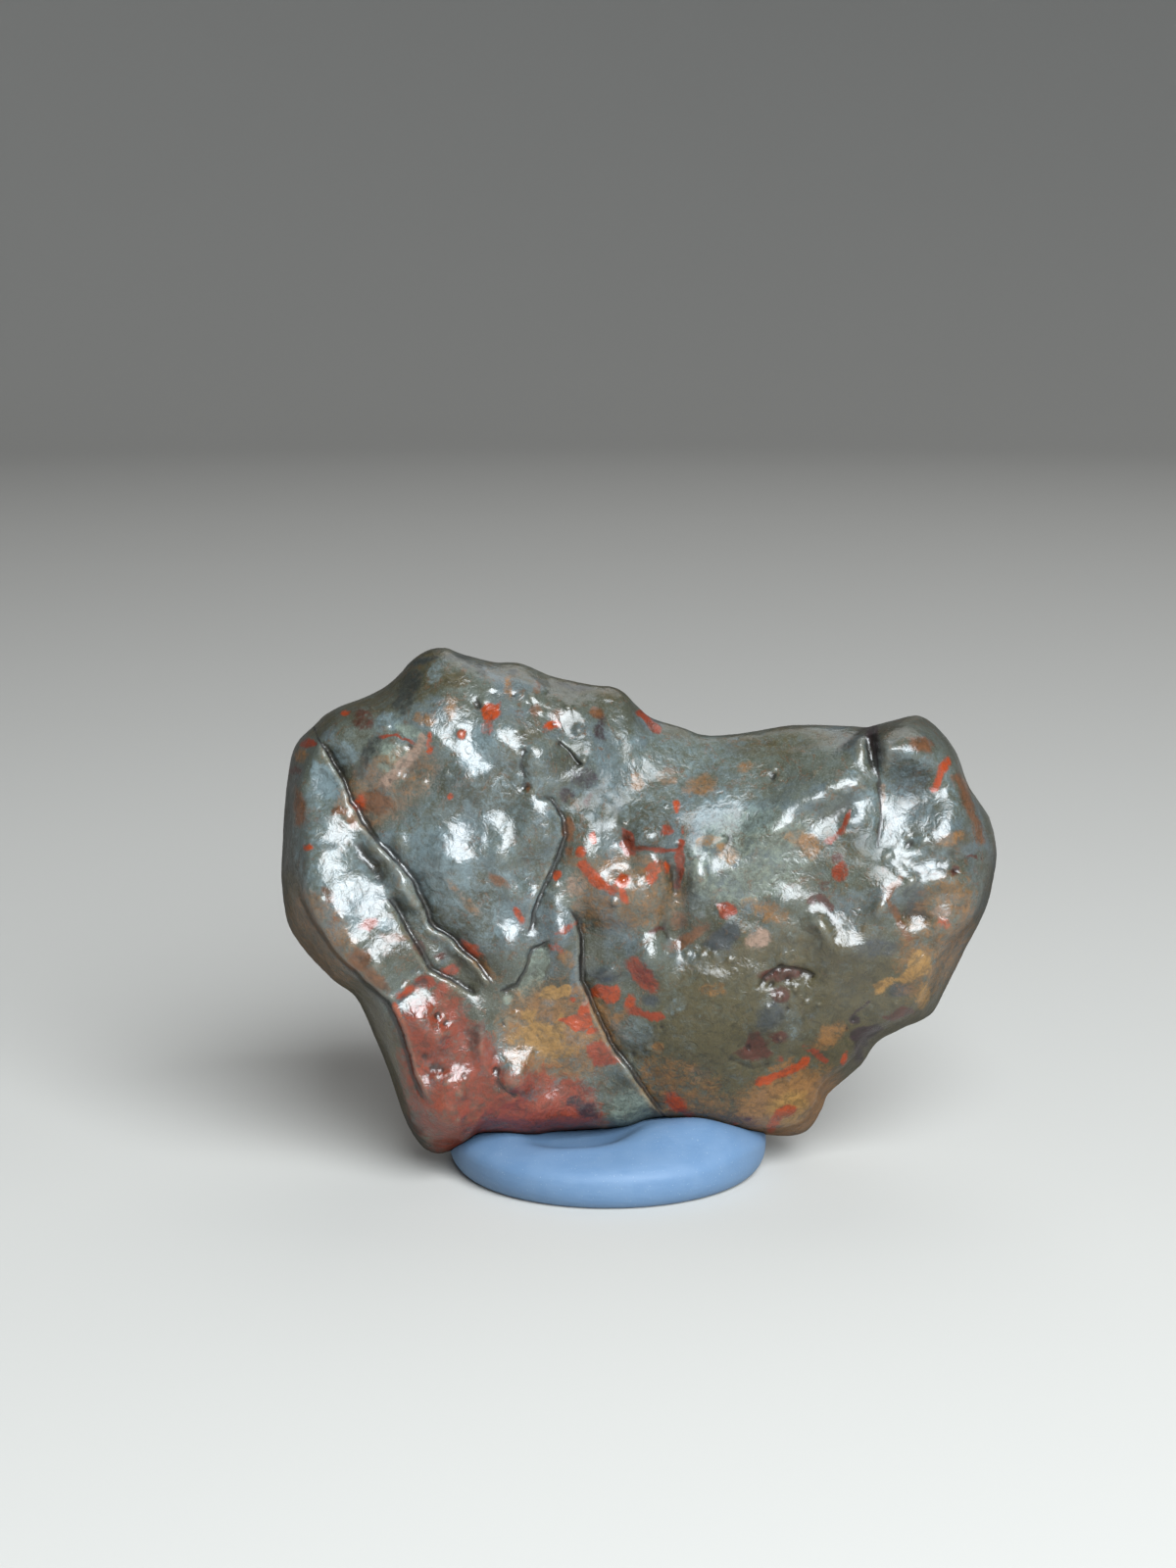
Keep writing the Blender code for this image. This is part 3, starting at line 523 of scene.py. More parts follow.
FACE_CRACKS: tuple[Crack, ...] = (
    # two cracks that part the left plate, a long strip and the middle mass
    Crack((
        (-28.4, 39.4), (-27.5, 38.2), (-26.9, 36.5), (-26, 35.2), (-25.1, 33.8), (-24.6, 31.8),
        (-23.4, 29.8), (-22.2, 28.2), (-20.7, 26.4), (-19.4, 24.9), (-18.5, 23), (-17.9, 21.3),
        (-15.9, 19.6), (-14, 17.9), (-12.7, 15.9), (-12.2, 15.2),
    ), 0.2, 0.14, 1.2, 1.6, 0.12),
    Crack((
        (-21.8, 23.8), (-20.8, 22.3), (-19.9, 20.6), (-18.9, 18.8), (-18, 17.2), (-16.8, 16.5),
        (-15.2, 15.5), (-13.6, 14.6),
    ), 0.2, 0.12, 0.9, 1.3, 0.1),
    # folded ridges on the strip, and the fold across the lobe
    Crack(((-23.8, 28), (-22, 27.3), (-20.4, 25.9), (-19.7, 24.2), (-18.8, 21.8)), 0.6, -0.4),
    Crack(((-18.5, 20.9), (-16, 19), (-13.9, 17.2), (-12.6, 15.4)), 0.4, -0.25),
    Crack(((-21.8, 14.4), (-21, 14.4), (-19.8, 15.5), (-18.4, 16.9)), 0.3, -0.3, -0.3, 0.8),
    # where the face turns into the left flank
    Crack((
        (-29.5, 25), (-28.3, 22), (-26.5, 19.2), (-23.5, 16), (-21.5, 14.2), (-20.3, 11.2), (-19.3, 7.5),
        (-18, 4.5),
    ), 0.8, -0.4, -1.8, 2.2),
    # the shell-like plate edge, and the flake scar under it
    Crack((
        (-9.2, 32.2), (-7.6, 31.9), (-6.6, 30.5), (-6.4, 28.9), (-7, 27), (-7.7, 25.6), (-8.6, 23.5),
        (-9.2, 21.5), (-9.6, 20),
    ), 0.2, 0.08, 0.7, 1.2, 0.09),
    Crack(((-7.4, 19.7), (-9.2, 18.8), (-10, 16.8), (-10.5, 15.8), (-12.2, 15.2)), 0.2, 0.08, 0.5, 1, 0.09),
    # the long crack down the middle
    Crack((
        (-6.2, 22.9), (-5.3, 21.4), (-5, 20), (-4.9, 16.2), (-4.2, 14.5), (-3.3, 12.4), (-2.4, 10.3),
        (-1, 8.5), (0.1, 6.9), (1.4, 5), (2.7, 3.5), (3.6, 2.4),
    ), 0.2, 0.16, 1.4, 2.4, 0.14),
    # the cornered groove round the middle plate, and the crack below it
    Crack((
        (-2, 30), (-1.3, 28.4), (-0.6, 27.4), (1.2, 27.5), (2.3, 27.2), (2.8, 25.8), (3, 24), (2.4, 22),
        (2.2, 20.8), (3, 18.7),
    ), 0.6, 0.65),
    # the fissure near the crown, and the ledge beside it
    Crack(((-9.7, 36.6), (-10, 35), (-9.6, 33.9), (-10, 32.4)), 0.3, 0.35),
    Crack(((-7, 37.2), (-5.9, 36.2), (-4.8, 34.9)), 0.2, 0.08, -0.5, 0.8, 0.08),
    # the thin crack below the cleft, and the crossing folds right of it
    Crack(((19.6, 39.4), (20.1, 36), (20.4, 33.6), (20.6, 30.4), (20.4, 27.6)), 0.25, 0.22, 0, 1, 0.09),
    Crack(((20.9, 27.4), (22.2, 26), (23.7, 24.7)), 0.6, -0.3),
    Crack(((22.4, 28.2), (24.4, 27.6), (27.4, 27.6)), 0.6, 0.3),
    # the arch over the crust, and the ledge under the dark scar
    Crack((
        (10, 15.4), (10.8, 16.6), (12.2, 17.6), (14.2, 17.1), (15.4, 16.4),
    ), 0.25, 0.12, -0.4, 0.9, 0.05),
    Crack(((7.5, 9.4), (8.6, 8.9), (10, 8.5), (11.6, 9)), 0.25, 0.1, -0.3, 0.9),
    # the crescent round the foot of the round lump
    Crack(((-12.3, 8.6), (-12, 7), (-11.3, 6.1), (-10.2, 5.7)), 0.4, 0.5, 0, 1, 0.06),
)

BACK_LUMPS: tuple[Lump, ...] = each(
    Lump,
    (-13, 30, 8, 5.5, 25, -1.3, 1.4), (11, 26.5, 8, 5, 160, 1.4), (-4, 16, 7, 4, 20, 1),
    (-22.5, 22, 4.5, 3.5, 110, 0.9), (3.5, 32, 4, 3, 60, -0.8), (20, 17.5, 5, 3.4, 55, -0.9),
    (23.5, 30, 3.6, 2.8, 100, 0.8), (-16, 9, 3.6, 2.2, 100, 0.7), (9, 10.5, 4.6, 3.2, 10, 0.8),
    (-18, 38, 3.6, 2.6, 45, 0.7), (-7.5, 38, 2.8, 1.8, 150, -0.5), (15.5, 33.5, 2.4, 1.8, 20, 0.6),
    (-10.5, 22.5, 2.6, 1.7, 70, 0.6), (1.5, 24, 2.4, 1.8, 120, -0.6), (16.5, 10.8, 2.4, 1.6, 30, 0.5),
)

BACK_CRACKS: tuple[Crack, ...] = (
    Crack((
        (-28.6, 39.6), (-25.8, 36.4), (-21, 34), (-15.4, 33), (-9.8, 30), (-5, 27.5), (-2.6, 23.6),
        (0.8, 20.2),
    ), 0.3, 0.16, 0.8, 1.8, 0.08),
    Crack(((19.3, 39.6), (17.6, 34), (18, 29), (15.4, 24), (15, 20.4)), 0.3, 0.14, -0.6, 1.6, 0.06),
    Crack(((-21, 16.8), (-15.6, 15.2), (-10, 11.6), (-4.6, 11), (-0.6, 7.8)), 0.3, 0.14, 0.7, 1.8, 0.06),
    Crack(((4, 15.4), (8.4, 16.8), (13, 15.6), (17, 16)), 0.3, 0.14, -0.5, 1.4, 0.06),
)

STAINS: dict[Tint, tuple[Mark, ...]] = {
    Tint.UMBER: (
        *each(
            Spot,
            # the broad umber spots over the lower right dome, here and at (7, 11), are partly its olive-brown
            # and partly painted shade where it turns down
            (13, 12, 14, 9, 15, 0.72, 4), (13, 24, 9, 5, 0, 0.38, 3), (-20, 41.6, 5, 1.6, 30, 0.5, 1.2),
            (-6, 42.4, 8, 1, -12, 0.5, 1), (-17, 44.4, 1.5, 0.3, 0, 0.7),
            (-15.6, 42.2, 1.2, 0.8, -10, 0.75, 0.5), (-27, 38.6, 1.4, 0.6, 45, 0.6, 0.6),
            (-23.5, 40.3, 1.6, 0.4, 15, 0.6, 0.5), (-11, 36, 0.9, 0.6, 0, 0.75),
            (-9.5, 37.6, 1.1, 0.6, 10, 0.7, 0.5), (-22.6, 26.6, 2, 0.9, -50, 0.8, 0.6),
            (7, 11, 3.2, 2.6, 10, 0.85, 1.6), (-2, 29.8, 1.2, 1.6, 90, 0.5, 1),
            (26.5, 24.2, 2, 0.5, 0, 0.7, 0.6), (26.8, 28.4, 1.8, 0.7, 10, 0.6, 0.6),
            (-16.6, 14.6, 1.6, 1.2, 60, 0.7, 0.6), (-2, 6, 1.4, 1.6, 60, 0.5, 1), (12, 37, 4, 1, 5, 0.5, 1),
            (3, 38, 1.5, 0.5, -20, 0.6, 0.5), (17, 7.4, 1.6, 1, 40, 0.5, 0.8),
            (19, 28, 1.4, 2.2, 90, 0.5, 0.9), (6, 4.9, 3.4, 0.9, -10, 0.75, 0.8),
        ),
        # painted shade: a dark umber band along the line where the face turns into the shaded left side
        Vein(((-30, 25), (-29, 20.4), (-26, 17), (-23.4, 14.2), (-21.4, 10), (-20, 5)), 0.9, 0.95, 0.8),
    ),
    Tint.SLATE: (
        *each(
            Spot,
            (11.5, 13, 1.6, 1, 60, 0.7, 0.8), (1, 14.3, 0.8, 0.5, -20, 0.85),
            # the slate spots in the dark field below the knob and under the small ledge at (-3, 16.6) are
            # painted shade
            (23, 33.4, 1.7, 1.4, 0, 0.6, 0.9), (-3, 16.6, 1.4, 0.5, -15, 0.7),
            (-5.3, 15.5, 0.35, 0.5, 0, 0.7, 0.3), (23.6, 23.5, 1, 1.4, 0, 0.6, 0.6),
            (20.4, 19, 1.8, 0.8, 0, 0.6, 0.8), (-6, 34.2, 2, 1.6, 0, 0.45, 1),
            (22.6, 15.2, 1, 0.6, 20, 0.85), (-8, 29.2, 1, 1.9, 5, 0.45, 0.5),
        ),
        Patch(((5.4, 19.1), (7.2, 21.1), (8.2, 21.5), (8.6, 20.2), (7.9, 18.8), (6.4, 18.6)), 0.9, 0.4),
    ),
    Tint.MIST: (
        *each(
            Spot,
            # the broad soft mist spots over the middle mass, the left plate, the middle top, the bands and at
            # (6.2, 30.5) and (9, 30.5) are partly blue-grey stone and partly painted sheen
            (-15, 29, 9, 8, 100, 0.45, 4), (-26, 27, 3, 6, 10, 0.5, 2), (2, 32, 7, 5, 0, 0.42, 3),
            (23, 31, 4, 5, 0, 0.45, 2), (-25, 36, 1.2, 0.9, -40, 0.6, 0.8), (-17.2, 43, 0.9, 0.5, 60, 0.5),
            (-16, 44, 0.9, 0.4, 20, 0.4), (-13.6, 36.2, 2.4, 1.6, 70, 0.7, 1.2),
            (-21.3, 38.6, 1.2, 0.7, 10, 0.6, 0.6), (-21.7, 21, 0.9, 0.6, 0, 0.7),
            (-17, 26, 4, 2.6, 110, 0.6, 2), (-11.5, 21.5, 1.8, 1.2, 90, 0.6, 1),
            (6.2, 30.5, 3, 1.4, 70, 0.6, 1.5), (9, 30.5, 2.5, 1.4, 0, 0.6, 1.2),
            (5, 23, 0.9, 1.2, 0, 0.4, 0.6), (13.3, 12.2, 0.7, 1, 0, 0.4, 0.6),
            (5.2, 7.7, 0.6, 0.5, 0, 0.4, 0.6), (10.8, 5.6, 0.4, 0.7, 0, 0.6),
            (-0.5, 11.8, 1.6, 1, -20, 0.45, 0.8), (3.2, 13.9, 0.8, 0.5, 40, 0.45, 0.6),
            (-7.8, 14.1, 0.6, 0.4, 0, 0.7, 0.3), (-7.9, 13, 0.5, 0.6, 0, 0.6, 0.3),
            (-5.9, 11.2, 0.4, 0.35, 0, 0.7, 0.3), (19.1, 32.1, 1, 0.6, 10, 0.6, 0.6),
            (17.9, 34, 0.6, 0.5, 0, 0.6),
        ),
        Patch((
            (-27.9, 35.3), (-26.1, 34.9), (-24.9, 33.3), (-24.6, 31.9), (-26.5, 31.9), (-27.7, 32.6),
        ), 0.95, 0.35),
    ),
    Tint.SAGE: (
        *each(
            Spot,
            (-19.4, 37.9, 1.2, 0.5, -30, 0.7, 0.5), (-18, 2.1, 0.7, 0.6, 80, 0.9),
            (9.5, 27, 5, 3.6, 20, 0.5, 2), (-11, 12.4, 0.9, 0.7, 80, 0.7),
            (-11.2, 14.4, 0.5, 0.5, 0, 0.8, 0.3), (-0.6, 4.5, 1.6, 1.8, 0, 0.6, 1),
        ),
        Patch(((-22.3, 34.8), (-21.7, 36.9), (-19.5, 36.7), (-19.5, 35.7), (-21.2, 33.9)), 0.85, 0.4),
        Patch((
            (-8.9, 19), (-7.7, 19.4), (-7.6, 18.2), (-8, 16.3), (-8.7, 14.7), (-9.2, 14), (-10.1, 13.7),
            (-10.4, 15), (-10.2, 16), (-9.3, 17.6),
        ), 0.5, 0.1),
    ),
    Tint.OCHRE: (
        *each(
            Spot,
            (-7, 11.4, 5, 4.2, 0, 0.62, 2), (13, 5, 5, 3, 20, 0.85, 1.5), (4, 6, 4, 2.4, -30, 0.5, 1.5),
            (10, 24, 9, 5, 10, 0.2, 3), (25.5, 20, 2.6, 5, -20, 0.5, 1.5), (-27, 20, 2, 4, 30, 0.5, 1.5),
            (-1, 24, 4.5, 3, 0, 0.5, 1.5), (-21.5, 33, 4.5, 2.4, 35, 0.5, 1.5),
            (-28.7, 35.8, 0.5, 0.5, 0, 0.7), (-15.9, 39.7, 0.5, 0.8, 0, 0.65, 0.5),
            (-18.2, 38.9, 0.8, 0.5, -20, 0.55, 0.5), (-11.1, 41.6, 0.25, 0.9, 0, 0.55, 0.3),
            (5.3, 33.2, 1.3, 0.8, 20, 0.6, 0.6), (2.4, 33.9, 0.9, 0.6, 0, 0.5, 0.5),
            (-0.1, 33.5, 0.5, 0.7, 0, 0.55), (9, 34.8, 0.6, 0.4, 0, 0.55),
            (14.5, 28, 1.2, 1, -40, 0.7, 0.6), (13.4, 28.8, 1, 0.5, 0, 0.5, 0.5),
            (7.5, 27.3, 1, 0.7, -30, 0.55, 0.5), (5.8, 28.4, 0.9, 0.5, 10, 0.55),
            (11.2, 22.2, 1.4, 0.7, -20, 0.6, 0.6), (9.4, 22.8, 0.7, 0.5, 0, 0.5),
            (6.5, 15.3, 0.9, 0.5, 0, 0.5, 0.5), (1.7, 10.2, 0.5, 0.4, -20, 0.65, 0.3),
            (3, 8.7, 0.7, 0.5, 0, 0.5), (-1.5, 12.9, 0.8, 0.4, 20, 0.7),
            (-5.3, 26.7, 0.8, 0.6, 0, 0.55, 0.5), (0.3, 23.7, 1.2, 0.8, 20, 0.55, 0.5),
            (-4.6, 20.8, 0.25, 0.6, 0, 0.7, 0.2), (-6.1, 18, 0.8, 0.6, -60, 0.55),
            (-13.2, 17.2, 1.4, 0.4, -40, 0.7, 0.3), (26.5, 19.2, 0.6, 1.6, -10, 0.55, 0.6),
            (16.6, 11.2, 1.6, 0.8, 35, 0.7, 0.6), (-3.2, 3.2, 0.5, 0.4, 0, 0.6, 0.3),
            (-14.1, 4.1, 0.5, 0.8, 0, 0.6), (26.5, 28.6, 1.2, 0.5, 15, 0.6, 0.5),
            (-15, 23.4, 1.6, 0.4, -50, 0.5, 0.5),
        ),
        Vein(((11.4, 8), (12.5, 8.6), (13.2, 9)), 0.3, 0.75),
    ),
    Tint.AMBER: (
        *each(
            Spot,
            (-8.3, 11, 2, 1.4, -20, 0.8, 0.6), (-9.4, 13, 0.7, 0.6, 0, 0.85),
            (-6.6, 12.2, 0.4, 0.9, -10, 0.65, 0.3), (-7, 9.8, 1.6, 0.7, 10, 0.6, 0.5),
            (-10.7, 10.9, 0.7, 0.5, 0, 0.6), (13, 4.6, 1.8, 1.4, 30, 0.85, 0.7),
            (24.6, 14.8, 0.5, 1.1, -10, 0.75),
        ),
        Patch((
            (22.4, 16.3), (23, 17.2), (23.3, 18.5), (24.1, 18.9), (24.7, 18.2), (25.3, 17.9), (25.1, 16.9),
            (24.2, 16.4), (23.4, 16.1), (22.3, 15.9), (21.2, 15.2), (20.6, 15), (20.1, 15.6), (20.7, 16),
            (21.5, 16.4),
        ), 0.95),
        Patch((
            (-8.5, 14.7), (-8.1, 15.6), (-7.4, 15.9), (-7, 15.6), (-6, 15.8), (-5.7, 15.3), (-5.9, 14.6),
            (-7.2, 14.3), (-8, 14.5),
        ), 0.95, 0.15),
    ),
    Tint.RUST: (
        *each(
            Spot,
            (-28.9, 31.2, 0.55, 1.6, 2), (-22.7, 31.7, 1.7, 1, -10, 0.95, 0.5),
            (-25.4, 31, 0.6, 0.5, 0, 0.7, 0.3), (-24.3, 30.2, 0.5, 0.7, -10, 0.75, 0.3),
            (-9.4, 33, 0.3, 0.5, -10, 0.9, 0.2), (-6, 29.3, 0.45, 1.2, 5, 0.95, 0.25),
            (-5.9, 27.5, 0.4, 0.4, 0, 0.8, 0.3), (-7, 39.3, 0.5, 0.5, 0, 0.6, 0.3),
            (-3.6, 39.5, 0.6, 0.4, 0, 0.8, 0.3), (-8.8, 39.6, 0.4, 0.6, -10, 0.7, 0.3),
            (-8.6, 41.6, 0.25, 0.5, 10, 0.6, 0.2), (-12, 24.9, 0.9, 0.35, -35, 0.75, 0.3),
            (-25.8, 21.4, 0.5, 0.3, 0, 0.6, 0.3), (-26.5, 23.7, 0.6, 0.35, -60, 0.7, 0.3),
            (-21, 19.9, 1.2, 0.35, -5, 0.9, 0.3), (-24, 17.9, 1, 1.1, -45, 0.8, 0.5),
            (-22.6, 16.2, 1.6, 0.6, -45, 0.9), (4.5, 20, 1.9, 0.5, 35), (23.8, 36.8, 1.1, 0.6, -20),
            (3.4, 21.4, 0.8, 0.7, 0, 0.65),
        ),
        Vein(((27, 34), (28, 31.6), (28.7, 29.8), (29.2, 28.4)), 0.4, 0.85, 0.4),
        Vein(((22.3, 25.2), (21.6, 24.2), (21.4, 23.2), (22, 22), (22.6, 21), (23.2, 19.8)), 0.28),
    ),
    Tint.ORANGE: (
        *each(
            Spot,
            (-12.9, 38.2, 0.5, 0.6, 0, 0.5), (-7.3, 38.4, 0.8, 0.35, 20, 0.9, 0.25),
            (-15.05, 37.6, 0.35, 0.45, 0, 0.9, 0.2), (-16.1, 32.3, 0.35, 0.35, 0, 0.9, 0.2),
            (-23.9, 31.6, 0.5, 0.7, -30, 0.8, 0.3), (-28.2, 27.8, 0.4, 0.25, 20, 0.8, 0.2),
            (-24.9, 39.5, 0.35, 0.3, 0, 0.7, 0.2), (-4.8, 27.4, 0.35, 0.45, 0, 0.85, 0.2),
            (-3.9, 28.7, 0.3, 0.6, 5, 0.8, 0.2), (-1.4, 24.9, 0.65, 0.7, 0, 0.95, 0.25),
            (-1.3, 23.6, 0.35, 0.8, 20, 0.85, 0.2), (1.2, 26, 0.8, 0.5, 40, 0.6, 0.3),
            (1, 25.2, 0.5, 0.6, 0, 0.7, 0.3), (2.3, 26, 0.3, 0.5, 0, 0.7, 0.3),
            (-7.1, 25.4, 0.4, 0.45, 0, 0.95, 0.2), (-10.2, 21.9, 0.35, 0.75, 20, 0.95, 0.2),
            (-14.3, 18.9, 1.2, 0.4, -35, 0.85, 0.3), (-7, 18.9, 0.6, 0.25, -20, 0.6, 0.3),
            (-6.2, 20.7, 0.9, 0.25, 40, 0.6, 0.25), (-5.6, 14.4, 0.25, 0.25, 0, 0.95, 0.15),
            (-4, 11.7, 0.5, 0.35, -10, 0.9, 0.2), (-0.7, 14.1, 0.5, 0.6, 0, 0.8, 0.3),
            (17.9, 9.1, 0.3, 0.6, -25, 0.95, 0.2), (3.3, 5.2, 1, 0.8, -30, 0.75, 0.5),
            (8.4, 3.2, 0.4, 0.3, 0, 0.7, 0.3), (-17.2, 5, 0.5, 0.7, 0, 0.8, 0.3),
            (-15.2, 4.4, 0.5, 0.4, 0, 0.85, 0.3), (-18.6, 8.2, 0.5, 0.4, 0, 0.7, 0.3),
            (3.2, 31.4, 0.3, 0.6, 10, 0.8, 0.2), (26.1, 21.2, 0.4, 0.5, 0, 0.6),
            (-19.9, 15.1, 1, 0.35, 30, 0.8, 0.3),
        ),
        Patch((
            (-13.4, 39.9), (-12.9, 40.3), (-11.6, 40.4), (-11.7, 39.4), (-12.3, 38.75), (-13.2, 39.1),
        ), 0.95),
        Patch((
            (-7, 12.5), (-5.3, 13.3), (-4.5, 14.6), (-4.2, 14.4), (-4, 13.5), (-3.8, 12.2), (-5.2, 11.6),
            (-6.2, 12.1),
        ), 0.98, 0.15),
        Patch((
            (-3.4, 15.9), (-2.3, 15.6), (-1.6, 15.7), (-1.5, 14.9), (-1.9, 14), (-2.8, 13.9), (-3.4, 14.5),
            (-4.1, 14.5), (-4.1, 15.4),
        ), 0.95, 0.2),
        Vein(((-17.7, 37.6), (-17.6, 36.2)), 0.25, 0.7),
        Vein(((-4.7, 26.3), (-4.1, 25.3), (-3.4, 24.7), (-2.4, 24.2)), 0.45, 0.85, 0.3),
        Vein(((10.5, 7), (11.6, 7.4), (13.2, 8), (14.6, 8.9)), 0.35, 0.95),
        Vein(((11.6, 3), (12.3, 4), (13.2, 4.6)), 0.5, 0.85, 0.3),
        Vein(((-21.1, 13.9), (-20.5, 12.6), (-19.9, 11.4)), 0.3, 0.85),
        Vein(((26.1, 35.3), (25.6, 34), (25.2, 32.9)), 0.35, 0.9),
    ),
    Tint.RED: (
        *each(
            Spot,
            (2.3, 29.3, 0.45, 0.35, 0, 0.7, 0.25), (3.7, 29.4, 0.2, 0.3, 0, 0.7, 0.2),
            (0.3, 16.6, 1.9, 0.85, -52, 0.95, 0.3), (-23.2, 21, 1, 0.5, 10, 0.95, 0.3),
            (-16.2, 17, 0.7, 0.5, 0, 0.9, 0.3), (-18.2, 16.1, 0.9, 0.6, -10, 0.85, 0.3),
            (-17, 15.2, 0.5, 0.9, -20, 0.8, 0.3), (-15.3, 12.2, 0.5, 1.2, -30, 0.85),
            (-18.5, 10.7, 1.3, 1.1, -60, 0.98), (-14.4, 8.4, 0.7, 1.4, -10), (-12.5, 8, 0.6, 1.9, 0, 0.95),
            (-13.6, 6.5, 1, 0.6, 0), (-12.3, 4.4, 0.9, 0.6, 0), (4.2, 4.2, 0.7, 0.35, -30, 0.9, 0.3),
            (12.2, 9.2, 0.3, 0.3, 0), (17.2, 25.7, 0.7, 0.8, -20, 0.75, 0.3),
        ),
        Patch((
            (-20.6, 13.2), (-16.4, 15.6), (-14.6, 12.4), (-12.6, 10.8), (-11.6, 8), (-8.4, 8.2), (-4, 6.4),
            (-3, 3.4), (-8, 2), (-14, 2), (-17.6, 0.6), (-19.6, 4), (-20.4, 9),
        ), 0.66, 1.6),
        Patch(((-28.9, 36.6), (-28, 37.3), (-27.5, 37.2), (-27.3, 36.6), (-28.2, 36.4)), 0.9, 0.2),
        Patch(((-1.5, 29.6), (-0.7, 29), (0, 27.6), (-0.2, 27), (-0.9, 27.1), (-1.5, 27.8)), 0.95, 0.2),
        Patch(((6.6, 22.9), (7.6, 23), (8.3, 22.7), (8.4, 22.2), (7.6, 21.5), (7.2, 21.6)), 0.95, 0.2),
        Patch((
            (-0.2, 13.9), (0.6, 13.4), (2, 13.4), (2.3, 13), (1.7, 12.6), (0.9, 12.6), (0.1, 13),
            (-0.9, 13.2),
        ), 0.95, 0.2),
        Patch((
            (-13.5, 5.2), (-12, 6.2), (-10.8, 5.9), (-9, 5.5), (-7.5, 6.6), (-6.5, 7.5), (-5.7, 7.2),
            (-4.9, 6.2), (-3.9, 5), (-3.4, 4), (-4.4, 3.2), (-7, 2.9), (-8.5, 2.4), (-11, 2.6),
            (-11.8, 3.2), (-13, 4.2),
        ), 0.9, 0.5),
        Patch((
            (-17.7, 1), (-16.2, 0.8), (-15.2, 1.3), (-14.9, 2.4), (-15.8, 2.9), (-16.5, 3.3), (-17.4, 2.9),
            (-17, 2.2),
        ), 0.9, 0.3),
        Patch((
            (-4.5, 10.4), (-3.3, 10.7), (-2.6, 10.2), (-1.4, 8.8), (-2.5, 8.5), (-3.8, 8.4), (-4.3, 9.4),
        ), 0.85, 0.3),
        Vein(((-0.3, 27.5), (1.2, 27.7), (2.3, 27.4), (3.3, 27.7)), 0.22, 0.85),
        Vein(((3.6, 28.4), (3.5, 26.6), (3.5, 25.2), (3.4, 24.4)), 0.3, 0.9),
        Vein(((0.2, 39.4), (0.9, 38.7), (1.6, 38)), 0.35, 0.9),
        Vein(((16.1, 28.3), (16.9, 28.9), (17.6, 29.8), (18, 30.8)), 0.25, 0.7),
        Vein(((14.6, 10.2), (15.4, 9.6), (16.2, 8.9)), 0.3, 0.85),
        Vein(((-21.9, 37.4), (-20.5, 37.5), (-18.8, 36.8)), 0.12, 0.85, 0.12),
    ),
    Tint.WINE: (
        *each(
            Spot,
            (-29.3, 34.5, 0.6, 0.4, 0, 0.9), (-4.3, 32, 0.25, 0.7, -20, 0.6, 0.25),
            (16.9, 26.9, 0.5, 0.5, 0, 0.8, 0.3), (15.5, 24.2, 0.9, 0.4, 30, 0.5),
            (27, 25.8, 0.35, 0.4, 0, 0.8, 0.2), (12.3, 16.7, 1.9, 0.7, 5), (12.2, 14.8, 0.8, 0.7, 0, 0.7),
            (12.1, 11.2, 0.9, 0.5, 10, 0.85, 0.3), (-18.9, 19.1, 0.5, 0.7, 20, 0.8, 0.3),
            (-17, 18.2, 0.6, 0.3, 10, 0.8, 0.2), (-13.9, 11.2, 0.6, 1, -30, 0.6),
            (9.6, 3.8, 0.4, 0.2, 0, 0.8, 0.2), (7.1, 6.7, 0.3, 0.2, -20, 0.7, 0.2),
            (-23.4, 38.9, 0.9, 0.8, -60, 0.6, 0.5),
        ),
        Patch((
            (20.9, 13), (21.9, 13.2), (22.7, 13.8), (23.7, 13.7), (23.9, 13.2), (22.9, 12.9), (21.9, 12.4),
            (21.3, 12.6),
        ), 0.95, 0.2),
        Patch((
            (8.2, 9.6), (9.2, 10.4), (9.6, 11.4), (10.4, 11.6), (11.1, 10.6), (11.7, 9.6), (10.4, 9),
            (9.2, 9),
        ), 0.95, 0.3),
        Vein(((1, 20.3), (1.6, 20.7), (2.1, 20.7)), 0.2),
        Vein(((14.7, 23.1), (15.3, 23.3), (16, 22.9), (16.4, 22.5)), 0.3, 0.95),
        Vein(((28, 27.1), (29.3, 26.9)), 0.12, 0.8, 0.1),
    ),
    Tint.PLUM: (
        *each(
            Spot,
            (-3.3, 38.2, 0.5, 1.1, 5, 0.65), (-4.6, 33.9, 1, 0.8, 0, 0.55, 0.6),
            (-6.2, 32.4, 0.7, 0.5, 0, 0.6), (18.7, 12.6, 0.5, 0.4, 30, 0.95, 0.2), (19, 9.6, 0.4, 0.9, 0),
            (-4.4, 4.4, 1, 0.8, -20, 0.8, 0.5), (-5.4, 5.2, 0.7, 0.6, 0, 0.65, 0.5),
        ),
        # the plum patch in the cleft beside the knob is partly its purple and partly painted shade in the
        # cleft
        Patch((
            (19.1, 38.3), (20.1, 38.3), (20.3, 37.2), (20.2, 35.5), (20, 35.1), (19.8, 36), (19.3, 37.4),
        ), 1, 0.1),
        Patch((
            (18.3, 11.3), (19.1, 11.9), (20.4, 12.1), (21.3, 11.9), (20.6, 11.3), (19.9, 10.9),
            (19.6, 10.2), (18.9, 10.4), (18.3, 10.9),
        ), 0.95),
        Vein(((18.6, 12.9), (19.2, 13.6), (20, 14.3)), 0.12, 0.8, 0.12),
    ),
    Tint.SOOT: (
        *each(
            Spot,
            (-18.2, 43.9, 1.3, 0.3, 15, 0.8, 0.3), (-5.6, 41.6, 1.7, 0.3, -8, 0.7, 0.3),
            (-10.7, 43, 0.5, 0.3, 10, 0.7, 0.2),
        ),
        Vein(((-19, 42.6), (-19.6, 41.2), (-20, 40)), 0.7, 0.65, 0.5),
        Vein(((-16.2, 44.3), (-14.6, 44.1), (-14.5, 43.4)), 0.3, 0.6, 0.3),
